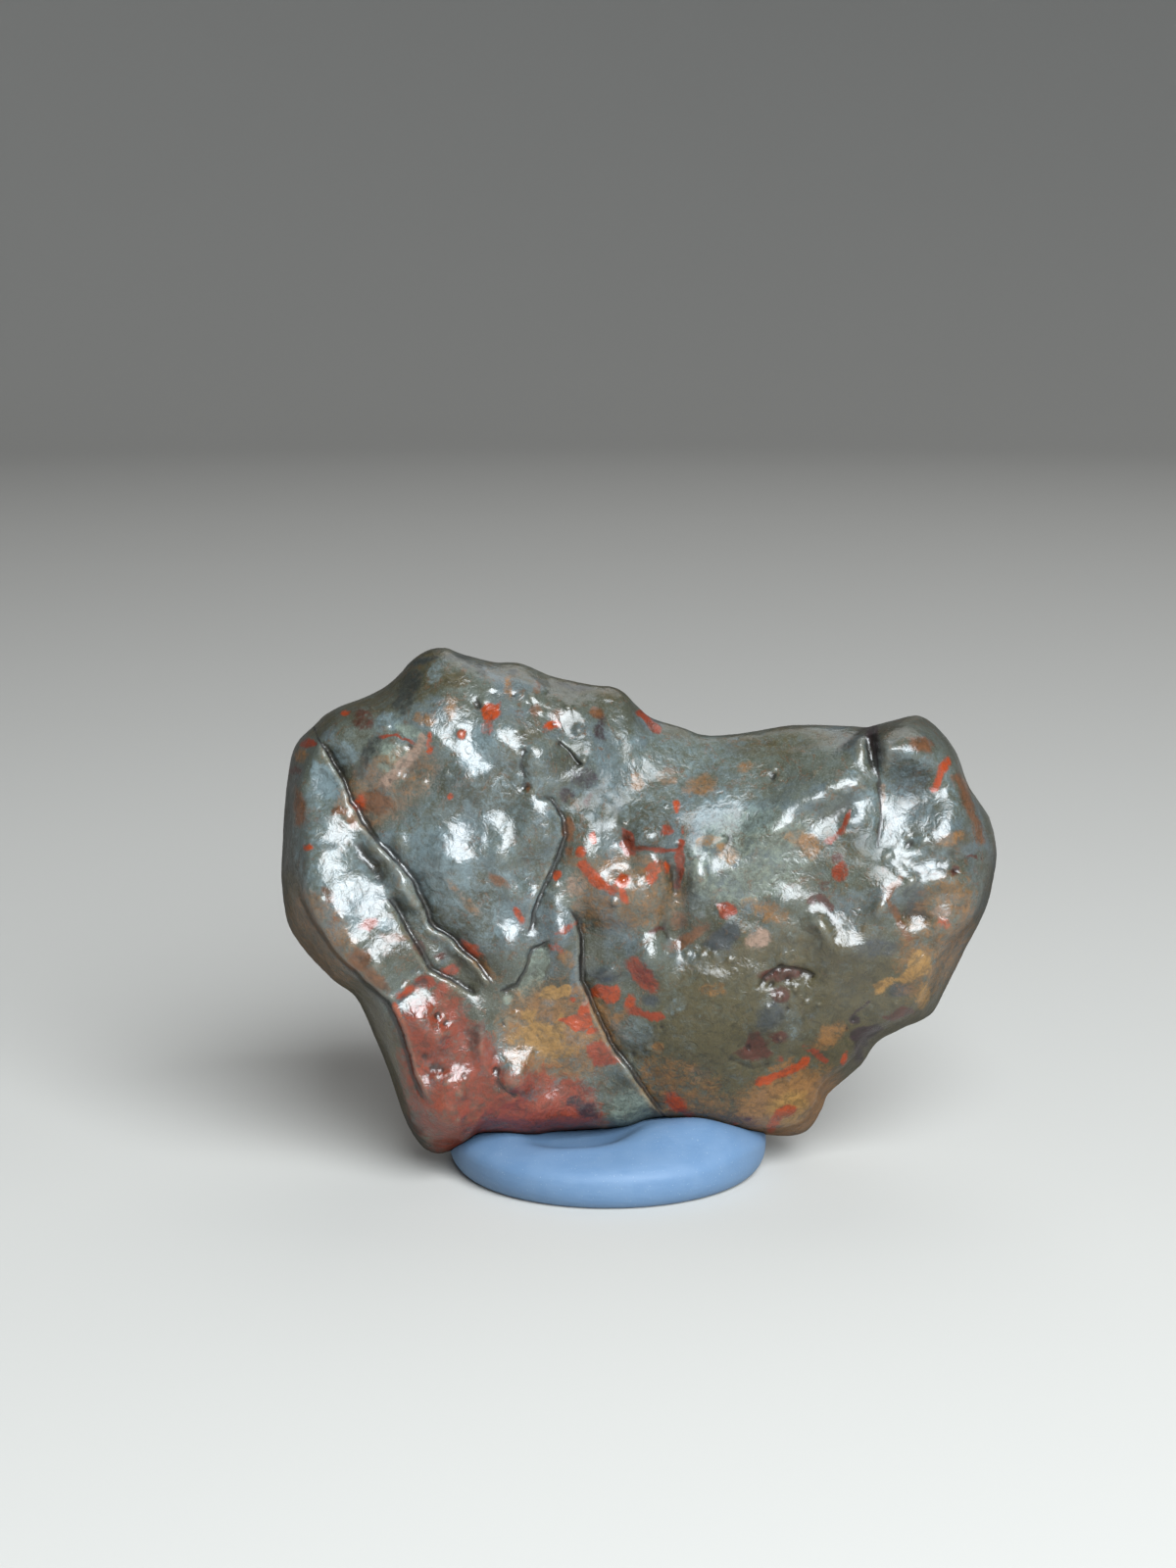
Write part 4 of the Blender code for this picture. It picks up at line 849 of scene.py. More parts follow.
        Vein(((-22.3, 37.1), (-23.2, 35.6), (-23.6, 34.2)), 0.4, 0.6, 0.4),
        Vein(((-13.4, 43.4), (-13.1, 42.9)), 0.25, 0.9),
    ),
    Tint.BLUSH: (
        *each(
            Spot,
            (-5.3, 24.7, 0.8, 0.6, -30, 0.5), (-5.5, 23.4, 0.4, 0.8, 30, 0.5, 0.3),
            (10.3, 19.8, 1, 0.9, 20, 0.7, 0.5), (26, 22, 0.7, 0.5, 0, 0.6),
            (-4.5, 14.3, 0.3, 0.5, -30, 0.7, 0.2),
        ),
        Vein(((-18.4, 37.2), (-18.9, 36.2), (-19.9, 35.2), (-20.9, 34.2), (-21.6, 33.2)), 0.45, 0.75, 0.3),
        Vein(((20.7, 33.2), (20.6, 31)), 0.2, 0.6),
    ),
}


class Signal:
    """A node's output, on which Python's operators add Math nodes."""

    def __init__(self, bench: "Bench", socket: bpy.types.NodeSocket) -> None:
        """Keeps the bench that adds nodes and the output socket."""
        self.bench = bench
        self.socket = socket

    def __add__(self, other: "Signal | float") -> "Signal":
        """The sum."""
        return self.bench.math("ADD", self, other)

    def __sub__(self, other: "Signal | float") -> "Signal":
        """The difference."""
        return self.bench.math("SUBTRACT", self, other)

    def __rsub__(self, other: float) -> "Signal":
        """The difference from a number."""
        return self.bench.math("SUBTRACT", other, self)

    def __mul__(self, other: "Signal | float") -> "Signal":
        """The product."""
        return self.bench.math("MULTIPLY", self, other)

    def __rtruediv__(self, other: float) -> "Signal":
        """A number divided by it."""
        return self.bench.math("DIVIDE", other, self)

    __radd__ = __add__
    __rmul__ = __mul__

    def above(self, low: float, high: float) -> "Signal":
        """A smooth step from 0 at low to 1 at high."""
        settings = {"interpolation_type": "SMOOTHSTEP"}
        return self.bench.add("ShaderNodeMapRange", settings, {0: self, 1: low, 2: high, 3: 0.0, 4: 1.0})

    def size(self) -> "Signal":
        """The value without its sign."""
        return self.bench.math("ABSOLUTE", self)


@dataclass(frozen=True)
class Grain:
    """A layer of soft noise.

    length is its wave length, detail how many finer layers it has, rough how strong they
    are, and twist how far the pattern is bent. A shift sets it apart from other layers.
    """

    length: float
    detail: float = 2.0
    rough: float = 0.5
    twist: float = 0.0
    shift: Triple | None = None


@dataclass(frozen=True)
class Wash:
    """A colour laid over another: its digits, the step that brings it in and its full share."""

    color: str
    low: float
    high: float
    share: float

    def over(self, color: Signal | Color, value: Signal) -> Signal:
        """The colour with this one laid over it by the step of a value."""
        return value.bench.mix(value.above(self.low, self.high) * self.share, color, paint(self.color))


class Bench:
    """Adds nodes to one tree and joins them."""

    def __init__(self, tree: bpy.types.NodeTree) -> None:
        """Keeps the tree and clears it."""
        self.tree = tree
        tree.nodes.clear()

    def feed(self, socket: bpy.types.NodeSocket, value: Any) -> None:
        """Links a signal to a socket, or sets its value.

        Args:
            socket: the input.
            value: a signal, or a number, colour, vector or material.
        """
        if isinstance(value, Signal):
            self.tree.links.new(value.socket, socket)
        elif isinstance(value, tuple) and len(value) == 3 and socket.type == "RGBA":
            socket.default_value = (*value, 1.0)
        else:
            socket.default_value = value

    def add(
        self,
        kind: str,
        settings: dict[str, Any] | None = None,
        sockets: dict[str | int, Any] | None = None,
        result: str | int = 0,
    ) -> Signal | None:
        """Adds a node.

        Args:
            kind: the node's type.
            settings: its properties, which are set first.
            sockets: values or links by input name or number.
            result: the output that is wanted.

        Returns:
            The wanted output, or nothing where the node has none.
        """
        node = self.tree.nodes.new(kind)
        for name, value in (settings or {}).items():
            setattr(node, name, value)
        for key, value in (sockets or {}).items():
            self.feed(node.inputs[key], value)
        return Signal(self, node.outputs[result]) if len(node.outputs) else None

    def math(self, operation: str, *values: Signal | float) -> Signal:
        """Adds a Math node on values or signals."""
        return self.add("ShaderNodeMath", {"operation": operation}, dict(enumerate(values)))

    def mix(self, share: Signal | float, start: Signal | Color, end: Signal | Color) -> Signal:
        """Mixes two colours: the first at share 0, the second at share 1."""
        return self.add("ShaderNodeMix", {"data_type": "RGBA"}, {0: share, 6: start, 7: end}, 2)

    def scaled(self, vector: Signal, factor: Signal | float) -> Signal:
        """A vector times a number."""
        return self.add("ShaderNodeVectorMath", {"operation": "SCALE"}, {0: vector, "Scale": factor})

    def vectors(self, operation: str, vector: Signal, other: Triple) -> Signal:
        """A vector joined with a fixed one."""
        return self.add("ShaderNodeVectorMath", {"operation": operation}, {0: vector, 1: other})

    def attribute(self, name: str) -> Signal:
        """The number that an attribute holds at each point."""
        return self.add("ShaderNodeAttribute", {"attribute_name": name}, None, "Fac")

    def bump(self, height: Signal) -> Signal:
        """The normal of a skin that is raised by a height in millimetres."""
        return self.add("ShaderNodeBump", None, {"Height": height, "Distance": MM, "Strength": 1.0})

    def noise(self, place: Signal, grain: Grain) -> Signal:
        """Reads a layer of noise.

        Args:
            place: where, in millimetres.
            grain: the layer.

        Returns:
            Values of about 0.2 to 0.8.
        """
        where = place if grain.shift is None else self.vectors("ADD", place, grain.shift)
        sockets = {
            "Vector": where, "Scale": 1.0 / grain.length, "Detail": grain.detail,
            "Roughness": grain.rough, "Distortion": grain.twist,
        }
        return self.add("ShaderNodeTexNoise", {"noise_dimensions": "3D"}, sockets)


@dataclass(frozen=True)
class Finish:
    """What every finish shares."""

    name: str
    slot: str

    def material(self) -> bpy.types.Material:
        """Makes the material and fills in its nodes.

        Returns:
            The material.
        """
        made = bpy.data.materials.new(self.name)
        made.use_nodes = True
        bench = Bench(made.node_tree)
        place = bench.scaled(bench.add("ShaderNodeTexCoord", result="Object"), 1.0 / MM)
        bench.add("ShaderNodeOutputMaterial", None, {"Surface": self.dress(bench, place)})
        return made

    def dress(self, bench: Bench, place: Signal) -> Signal:
        """Builds the shader from the place in millimetres. Each finish has its own."""
        raise NotImplementedError


@dataclass(frozen=True)
class AgateFinish(Finish):
    """Wind-polished agate: cloudy grey-green with stains, dark cracks, a waxy gloss, painted shade and
    painted highlights.
    """

    name: str = "polished_agate"
    slot: str = "agate"
    body: str = "4b5048"
    shade: str = "302f21"
    # painted shade: the dark colour laid on the stone's sides that turn away from the sight line and the
    # light
    flank_painted_shade: str = "231f16"
    flank_share: float = 0.7
    broad: Grain = Grain(9.0, 3.0, 0.55, 0.4)
    broad_shade: Wash = Wash("302f21", 0.42, 0.62, 0.9)
    veil: Grain = Grain(5.0, 4.0, 0.6, 0.6, (31.0, 7.0, 5.0))
    veil_haze: Wash = Wash("4f5b61", 0.46, 0.66, 0.7)
    cloud: Grain = Grain(1.3, 5.0, 0.65, 0.0, (3.0, 50.0, 9.0))
    cloud_step: Place = (0.35, 0.65)
    cloud_share: float = 0.22
    dip_unevenness: float = 0.8
    # painted shade: the low spots of the relief are darkened
    dip_painted_shade: Wash = Wash("383524", -0.3, 1.2, 0.75)
    mottle: Grain = Grain(0.8, 5.0, 0.7, 0.5, (60.0, 4.0, 8.0))
    mottle_dirt: Wash = Wash("383524", 0.48, 0.70, 0.6)
    mottle_haze: Wash = Wash("4f5b61", 0.5, 0.75, 0.3)
    bend: Grain = Grain(5.0, 6.0, 0.62, 1.4, (8.0, 8.0, 40.0))
    thread: str = "5a3a22"
    thread_width: float = 0.022
    thread_gaps: Place = (0.4, 0.6)
    thread_share: float = 0.6
    speckle: Grain = Grain(0.13, 2.0, 0.6, 0.0, (5.0, 5.0, 1.0))
    pale_specks: Wash = Wash("7d8078", 0.5, 0.75, 0.3)
    dark_specks: Wash = Wash("1c1b16", 0.52, 0.75, 0.3)
    ragged: Grain = Grain(0.7, 5.0, 0.62, 0.5)
    ragged_share: float = 1.0
    flecked: Grain = Grain(0.22, 3.0, 0.6, 0.0, (9.0, 2.0, 77.0))
    flecked_share: float = 0.5
    varied: Grain = Grain(0.9, 4.0, 0.7, 0.8, (1.0, 20.0, 4.0))
    varied_step: Place = (0.42, 0.68)
    dulled: Place = (0.45, 0.25)
    stain_step: Place = (0.26, 0.80)
    stain_edge: Place = (0.02, 0.2)
    stain_share: float = 0.95
    # painted shade darkens the hollows and a painted highlight lightens the ridges
    hollow_painted_shade: Wash = Wash("120d0a", 0.15, 1.0, 0.7)
    ridge_painted_highlight: Wash = Wash("8d8470", 0.25, 1.2, 0.15)
    broken: Grain = Grain(1.4, 3.0, 0.6, 0.0, (0.0, 66.0, 3.0))
    broken_step: Place = (0.38, 0.56)
    ink: str = "120d0a"
    ink_edge: Place = (0.4, 1.0)
    ink_shares: Place = (0.65, 0.3)
    ripple: Grain = Grain(0.7, 3.0, 0.55, 0.8)
    ripple_height: float = 0.10
    scratch: Grain = Grain(0.12, 2.0, 0.5)
    scratch_height: float = 0.004
    wear: Grain = Grain(1.1, 4.0, 0.6)
    wear_reach: float = 0.22
    roughness: float = 0.3
    ink_roughness: float = 0.4
    gloss: float = 0.62
    glass_index: float = 1.54
    coat: float = 0.2
    coat_roughness: float = 0.1
    matt_roughness: float = 0.7
    matt_gloss: float = 0.08
    matt_share: float = 0.9

    def clouds(self, bench: Bench, place: Signal) -> Signal:
        """The stone's own colour, before any stain.

        Args:
            bench: the material's bench.
            place: the place in millimetres.

        Returns:
            The colour.
        """
        color = self.broad_shade.over(paint(self.body), bench.noise(place, self.broad))
        color = self.veil_haze.over(color, bench.noise(place, self.veil))
        cloud = bench.noise(place, self.cloud).above(*self.cloud_step)
        color = bench.mix(cloud * self.cloud_share, color, paint(self.shade))
        # painted shade in the low spots of the relief, made a little uneven
        color = self.dip_painted_shade.over(color, bench.attribute("dip") + (cloud - 0.5) * self.dip_unevenness)
        mottle = bench.noise(place, self.mottle)
        color = self.mottle_haze.over(self.mottle_dirt.over(color, mottle), 1.0 - mottle)
        thread = 1.0 - (bench.noise(place, self.bend) - 0.5).size().above(0.0, self.thread_width)
        kept = mottle.above(*self.thread_gaps)
        return bench.mix(thread * kept * self.thread_share, color, paint(self.thread))

    def stained(self, bench: Bench, place: Signal, color: Signal) -> Signal:
        """Lays the stains over a colour.

        Args:
            bench: the material's bench.
            place: the place in millimetres.
            color: the colour below.

        Returns:
            The stained colour.
        """
        ragged = (bench.noise(place, self.ragged) - 0.5) * self.ragged_share
        flecked = (bench.noise(place, self.flecked) - 0.5) * self.flecked_share
        varied = bench.noise(place, self.varied).above(*self.varied_step)
        kept, greyed = self.dulled
        for tint in STAINS:
            cover = bench.attribute(tint.layer)
            share = (cover + ragged + flecked).above(*self.stain_step) * cover.above(*self.stain_edge)
            full = paint(tint.value)
            dull = tuple(part * kept + grey * greyed for part, grey in zip(full, paint(self.shade)))
            color = bench.mix(share * self.stain_share, color, bench.mix(varied, full, dull))
        return color

    def inked(self, bench: Bench, place: Signal) -> Signal:
        """Reads the cracks' dark line, broken here and there.

        Args:
            bench: the material's bench.
            place: the place in millimetres.

        Returns:
            How much of the line shows.
        """
        line = 1.0 - bench.attribute("ink").size().above(*self.ink_edge)
        broken = bench.noise(place, self.broken).above(*self.broken_step)
        share, least = self.ink_shares
        return line * bench.attribute("ink_near") * (broken * share + least)

    def dress(self, bench: Bench, place: Signal) -> Signal:
        """Builds the shader.

        Args:
            bench: the material's bench.
            place: the place in millimetres.

        Returns:
            The surface.
        """
        speckle = bench.noise(place, self.speckle)
        color = self.pale_specks.over(self.clouds(bench, place), speckle)
        # painted shade on the sides that turn away from the sight line
        color = bench.mix(bench.attribute("rim") * self.flank_share, color, paint(self.flank_painted_shade))
        color = self.dark_specks.over(self.stained(bench, place, color), 1.0 - speckle)
        # painted shade in the hollows and a painted highlight on the ridges
        hollow = bench.attribute("hollow")
        color = self.ridge_painted_highlight.over(self.hollow_painted_shade.over(color, hollow), hollow * -1.0)
        line = self.inked(bench, place)
        color = bench.mix(line, color, paint(self.ink))

        ripple = bench.noise(place, self.ripple) * self.ripple_height
        skin = bench.bump(ripple + bench.noise(place, self.scratch) * self.scratch_height)
        worn = (bench.noise(place, self.wear) - 0.5) * self.wear_reach
        rough = self.roughness + worn + line * self.ink_roughness
        glossy = bench.add(
            "ShaderNodeBsdfPrincipled", None,
            {
                "Base Color": color, "Roughness": rough, "Normal": skin, "Coat Weight": self.coat,
                "Coat Roughness": self.coat_roughness, "Specular IOR Level": self.gloss,
                "IOR": self.glass_index,
            },
        )
        matt = bench.add(
            "ShaderNodeBsdfPrincipled", None,
            {
                "Base Color": color, "Roughness": self.matt_roughness, "Normal": skin,
                "Specular IOR Level": self.matt_gloss,
            },
        )
        share = bench.attribute("dull") * self.matt_share
        return bench.add("ShaderNodeMixShader", None, {0: share, 1: glossy, 2: matt})


@dataclass(frozen=True)
class PuttyFinish(Finish):
    """Soft fixing putty: matte blue-grey with smears, finger streaks, fine specks and painted shade in its
    dish.
    """

    name: str = "soft_putty"
    slot: str = "putty"
    body: str = "587492"
    pale: str = "647d98"
    smear: Grain = Grain(3.2, 4.0, 0.6, 0.8)
    smear_step: Place = (0.35, 0.7)
    smear_share: float = 0.5
    # painted shade: the putty is darkened in its pressed dish
    dish_painted_shade: Wash = Wash("3f566f", 0.1, 0.9, 0.3)
    speckle: Grain = Grain(0.16, 1.0, 0.5)
    specks: Wash = Wash("8e9dab", 0.68, 0.78, 0.5)
    streak: Grain = Grain(0.5, 3.0, 0.55, 0.3)
    streak_crowding: Triple = (0.35, 1.0, 1.6)
    streak_height: float = 0.03
    grain: Grain = Grain(0.15)
    grain_height: float = 0.008
    roughness: float = 0.58
    roughness_reach: float = 0.12
    gloss: float = 0.4

    def dress(self, bench: Bench, place: Signal) -> Signal:
        """Builds the shader.

        Args:
            bench: the material's bench.
            place: the place in millimetres.

        Returns:
            The surface.
        """
        smear = bench.noise(place, self.smear).above(*self.smear_step)
        color = bench.mix(smear * self.smear_share, paint(self.body), paint(self.pale))
        # painted shade in the pressed dish
        color = self.dish_painted_shade.over(color, bench.attribute("dish"))
        color = self.specks.over(color, bench.noise(place, self.speckle))
        streak = bench.noise(bench.vectors("MULTIPLY", place, self.streak_crowding), self.streak)
        grain = bench.noise(place, self.grain)
        return bench.add(
            "ShaderNodeBsdfPrincipled", None,
            {
                "Base Color": color, "Roughness": self.roughness + (smear - 0.5) * self.roughness_reach,
                "Normal": bench.bump(streak * self.streak_height + grain * self.grain_height),
                "Specular IOR Level": self.gloss,
            },
        )


@dataclass(frozen=True)
class FloorFinish(Finish):
    """A plain pale studio floor."""

    name: str = "studio_floor"
    slot: str = ""
    body: str = "bcbab5"
    cloud: Grain = Grain(60.0)
    cloud_color: str = "b1aea8"
    cloud_share: float = 0.1
    roughness: float = 0.8

    def dress(self, bench: Bench, place: Signal) -> Signal:
        """Builds the shader: one pale matte colour with a faint cloud.

        Args:
            bench: the material's bench.
            place: the place in millimetres.

        Returns:
            The surface.
        """
        share = bench.noise(place, self.cloud) * self.cloud_share
        color = bench.mix(share, paint(self.body), paint(self.cloud_color))
        return bench.add("ShaderNodeBsdfPrincipled", None, {"Base Color": color, "Roughness": self.roughness})


class SkinTree:
    """Geometry Nodes that raise the stone's fine uneven skin along its normals."""

    INPUTS = (
        ("Swell length", "NodeSocketFloat", 1.6),
        ("Swell height", "NodeSocketFloat", 0.07),
        ("Dimple length", "NodeSocketFloat", 0.75),
        ("Dimple height", "NodeSocketFloat", 0.045),
        ("Pit spacing", "NodeSocketFloat", 0.9),
        ("Pit depth", "NodeSocketFloat", 0.22),
        ("Seed", "NodeSocketFloat", 4.0),
        ("Finish", "NodeSocketMaterial", None),
    )
    LAYER_DETAIL = 1.5
    PIT_STEP = (0.12, 0.34)

    def __init__(self) -> None:
        """Builds the tree."""
        self.tree = bpy.data.node_groups.new("polished_skin", "GeometryNodeTree")
        bench = Bench(self.tree)
        interface = self.tree.interface
        interface.new_socket(name="Geometry", in_out="OUTPUT", socket_type="NodeSocketGeometry")
        interface.new_socket(name="Geometry", in_out="INPUT", socket_type="NodeSocketGeometry")
        self.identifiers = {}
        for name, kind, value in self.INPUTS:
            socket = interface.new_socket(name=name, in_out="INPUT", socket_type=kind)
            self.identifiers[name] = socket.identifier
            if value is not None:
                socket.default_value = value
        source = self.tree.nodes.new("NodeGroupInput")
        given = {socket.name: Signal(bench, socket) for socket in source.outputs if socket.name}
        place = bench.scaled(bench.add("GeometryNodeInputPosition"), 1.0 / MM)
        rise = self.layer(bench, place, given, "Swell") + self.layer(bench, place, given, "Dimple")
        cell = bench.add(
            "ShaderNodeTexVoronoi", {"voronoi_dimensions": "4D"},
            {"Vector": place, "W": given["Seed"], "Scale": 1.0 / given["Pit spacing"]},
        )
        crusty = bench.add("GeometryNodeInputNamedAttribute", {"data_type": "FLOAT"}, {"Name": "crust"})
        rise = rise - (1.0 - cell.above(*self.PIT_STEP)) * crusty * given["Pit depth"]
        offset = bench.scaled(bench.add("GeometryNodeInputNormal"), rise * MM)
        moved = bench.add("GeometryNodeSetPosition", None, {"Geometry": given["Geometry"], "Offset": offset})
        real = bench.add("GeometryNodeRealizeInstances", None, {"Geometry": moved})
        dressed = bench.add("GeometryNodeSetMaterial", None, {"Geometry": real, "Material": given["Finish"]})
        bench.add("NodeGroupOutput", None, {"Geometry": dressed})

    def layer(self, bench: Bench, place: Signal, given: dict[str, Signal], name: str) -> Signal:
        """One layer of noise.

        Args:
            bench: the tree's bench.
            place: the place in millimetres.
            given: the tree's inputs by name.
            name: the first word of the layer's inputs.

        Returns:
            The layer's height in millimetres.
        """
        sockets = {"Vector": place, "W": given["Seed"], "Scale": 1.0 / given[f"{name} length"]}
        read = bench.add(
            "ShaderNodeTexNoise", {"noise_dimensions": "4D"}, {**sockets, "Detail": self.LAYER_DETAIL},
        )
        return (read - 0.5) * 2.0 * given[f"{name} height"]

    def press(self, item: bpy.types.Object, finish: bpy.types.Material) -> None:
        """Runs the tree on an object and keeps the result as its plain mesh.

        Args:
            item: the object.
            finish: the material that the tree sets.
        """
        modifier = item.modifiers.new("skin", "NODES")
        modifier.node_group = self.tree
        for name, _, value in self.INPUTS:
            modifier[self.identifiers[name]] = finish if value is None else value
        keep_evaluated(item)


def keep_evaluated(item: bpy.types.Object) -> None:
    """Replaces an object's mesh by its evaluated one and removes its modifiers.

    Args:
        item: the object.
    """
    graph = bpy.context.evaluated_depsgraph_get()
    shown = item.evaluated_get(graph)
    made = bpy.data.meshes.new_from_object(shown, preserve_all_data_layers=True, depsgraph=graph)
    item.modifiers.clear()
    old = item.data
    item.data = made
    made.name = item.name
    bpy.data.meshes.remove(old)


def join_rings(sheet: bmesh.types.BMesh, rings: list[list[bmesh.types.BMVert]]) -> None:
    """Fills in the faces between rings of points.

    Args:
        sheet: the bmesh that holds them.
        rings: the rings from the middle outwards. The first may be a single point.
    """
    for inner, outer in zip(rings, rings[1:]):
        for turn, point in enumerate(outer):
            following = (turn + 1) % len(outer)
            if len(inner) == 1:
                sheet.faces.new((inner[0], point, outer[following]))
            else:
                sheet.faces.new((inner[turn], point, outer[following], inner[following]))


def ring_angles(turns: int, radius: float, least: float = 0.01) -> list[float]:
    """Spaces the points of a ring evenly.

    Args:
        turns: how many points it has.
        radius: its radius.
        least: the radius below which it is a single point.

    Returns:
        The angle of each point.
    """
    count = turns if radius > least else 1
    return [2.0 * math.pi * turn / turns for turn in range(count)]


def new_object(name: str, source: bmesh.types.BMesh) -> bpy.types.Object:
    """Makes a smooth shaded object of a bmesh, with its faces pointing out.

    Args:
        name: the object's name.
        source: the bmesh, which is freed.

    Returns:
        The object.
    """
    bmesh.ops.recalc_face_normals(source, faces=source.faces)
    mesh = bpy.data.meshes.new(name)
    source.to_mesh(mesh)
    source.free()
    mesh.shade_smooth()
    item = bpy.data.objects.new(name, mesh)
    bpy.context.collection.objects.link(item)
    return item


def rows_of(mesh: bpy.types.Mesh, what: str) -> Array:
    """Reads the places or the normals of a mesh's points.

    Args:
        mesh: the mesh.
        what: "co" for the places in metres, or "normal".

    Returns:
        One row for each point.
    """
    flat = np.empty(len(mesh.vertices) * 3, dtype=np.float32)
    mesh.vertices.foreach_get(what, flat)
    return flat.reshape(-1, 3)


def corners(mesh: bpy.types.Mesh) -> Array:
    """A mesh's points in millimetres, one row for each."""
    return rows_of(mesh, "co").astype(float) / MM


def write(mesh: bpy.types.Mesh, name: str, values: Array) -> None:
    """Keeps one number for each point as an attribute."""
    mesh.attributes.new(name, "FLOAT", "POINT").data.foreach_set("value", values.astype(np.float32))


@dataclass
class Stone:
    """The agate: a fine ball drawn out to the stone's form, with its colours on its points.

    A pair of depths, heights or shares is where a smooth step starts and ends. Each wave,
    wander and drift is a wave length and a height, and a shift moves the place that a wave
    is read at, so that two waves differ.
    """

    name: str = "agate_stone"
    outline_y: float = 0.3
    heart: Place = (-1.0, 22.2)
    sight: Triple = (-4.33, -254.7, 82.9)
    face_depth: float = 10.0
    back_depth: float = 11.5
    least_depth_share: float = 0.3
    face_fullness: tuple[float, ...] = (5.0, 2.0, 7.0, 12.0)
    back_fullness: float = 2.4
    foot_thickness: float = 0.72
    foot_heights: Place = (1.0, 19.0)
    back_fall: float = 0.19
    back_fall_heights: Place = (8.0, 30.0)
    curve_steps: int = 24
    angle_step_degrees: float = 0.5
    even_spread_degrees: int = 14
    rim_band: Place = (0.45, 1.0)
    relief_edge: float = 0.07
    bump_fade_depths: Place = (1.5, 8.0)
    side_wear: tuple[float, ...] = (1.4, 2.0, 0.8, 0.2)
    side_wear_depths: Place = (1.0, 7.0)
    side_wear_length: float = 7.0
    side_wear_mean: float = 0.5
    side_wear_swing: float = 0.9
    skin_waves: tuple[Place, ...] = ((9.0, 0.50), (4.2, 0.42), (2.1, 0.22), (1.1, 0.06))
    skin_shift: float = 20.0
    calmed_length: float = 5.0
    wanders: tuple[Place, ...] = ((2.2, 0.18), (0.7, 0.07))
    wander_shift: float = 70.0
    back_shift: float = 40.0
    stain_wander: Place = (0.9, 0.22)
    stain_shifts: Place = (11.0, 33.0)
    stain_rim: Place = (-2.0, 0.5)
    drifts: tuple[Place, ...] = ((7.0, 0.9), (2.6, 0.5))
    drift_shift: float = 100.0
    most_drift: float = 0.9
    # where the painted shade on the sides starts, and how much less of it the upward-facing top gets, as if
    # lit from above
    flank_facing: Place = (0.12, 0.62)
    top_polish_and_light: float = 0.6
    top_slopes: Place = (-0.1, 0.5)
    ink_reach: float = 1.0
    ink_end_share: float = 0.06
    ink_fade: Place = (0.4, 0.7)
    no_ink: float = 9.0
    hollow_passes: int = 8
    hollow_unit: float = 0.1
    ball_level: int = 8
    face_pull: float = 0.62
    triangles: int = 196_000
    finish: AgateFinish = field(default_factory=AgateFinish)

    def outline_reach(self) -> tuple[Array, Array, Array]:
        """Measures the outline from the stone's heart.

        Returns:
            Angles, the distance to the outline at each, and the same evened out.
        """
        points = np.array(OUTLINE)
        before, after, beyond = (np.roll(points, shift, axis=0) for shift in (1, -1, -2))
        curve = []
        for share in np.linspace(0.0, 1.0, self.curve_steps, endpoint=False):
            cube, square = share ** 3, share ** 2
            curve.append(
                (2 * cube - 3 * square + 1) * points
                + (cube - 2 * square + share) * (after - before) / 2.0
                + (3 * square - 2 * cube) * after
                + (cube - square) * (beyond - points) / 2.0
            )
        curve = np.concatenate(curve) - np.array(self.heart)
        angles = np.arctan2(curve[:, 1], curve[:, 0])
        reach = np.hypot(curve[:, 0], curve[:, 1])
        order = np.argsort(angles)
        every_angle = np.radians(np.arange(-180.0, 180.0, self.angle_step_degrees))
        exact = np.interp(every_angle, angles[order], reach[order], period=2 * math.pi)
        window = round(self.even_spread_degrees / self.angle_step_degrees)
        weights = np.hanning(2 * window + 1)
        wrapped = np.concatenate((exact[-window:], exact, exact[:window]))
        return every_angle, exact, np.convolve(wrapped, weights / weights.sum(), mode="valid")

    def spread(self, x: Array, z: Array, is_face: Array) -> Array:
        """Places as rows to read waves at, with the back's far from the face's."""
        return np.column_stack((x, np.where(is_face, 0.0, self.back_shift), z))

    def wandered(self, x: Array, z: Array, is_face: Array) -> tuple[Array, Array]:
        """Bends places a little, so that lines and edges waver as natural ones do.

        Args:
            x: each place's x on the outline's plane.
            z: each place's z there.
            is_face: whether the place is on the face.

        Returns:
            The bent x and z.
        """
        flat = self.spread(x, z, is_face)
        for length, reach in self.wanders:
            x = x + reach * wave(flat, length)
            z = z + reach * wave(flat + self.wander_shift, length)
        return x, z

    def relief(self, x: Array, z: Array, is_face: Array) -> Array:
        """Works out the height of the lumps, cracks and waves.

        Args:
            x: each place's x on the outline's plane.
            z: each place's z there.
            is_face: whether the place is on the face.

        Returns:
            The height at each place.
        """
        flat = self.spread(x, z, is_face)
        rough = 1.0 - np.where(is_face, covered(CALMS, x, z), 0.0)
        total = np.zeros(len(x))
        for length, height in self.skin_waves:
            kept = 1.0 if length > self.calmed_length else rough
            total += height * wave(flat + self.skin_shift, length) * kept
        bent_x, bent_z = self.wandered(x, z, is_face)
        sides = ((is_face, (*FACE_LUMPS, *FACE_CRACKS, *FACE_DOTS)), (~is_face, (*BACK_LUMPS, *BACK_CRACKS)))
        for side, forms in sides:
            total[side] += gather(forms, lambda form, *at: form.rise(*at), np.add, bent_x[side], bent_z[side])
        return total

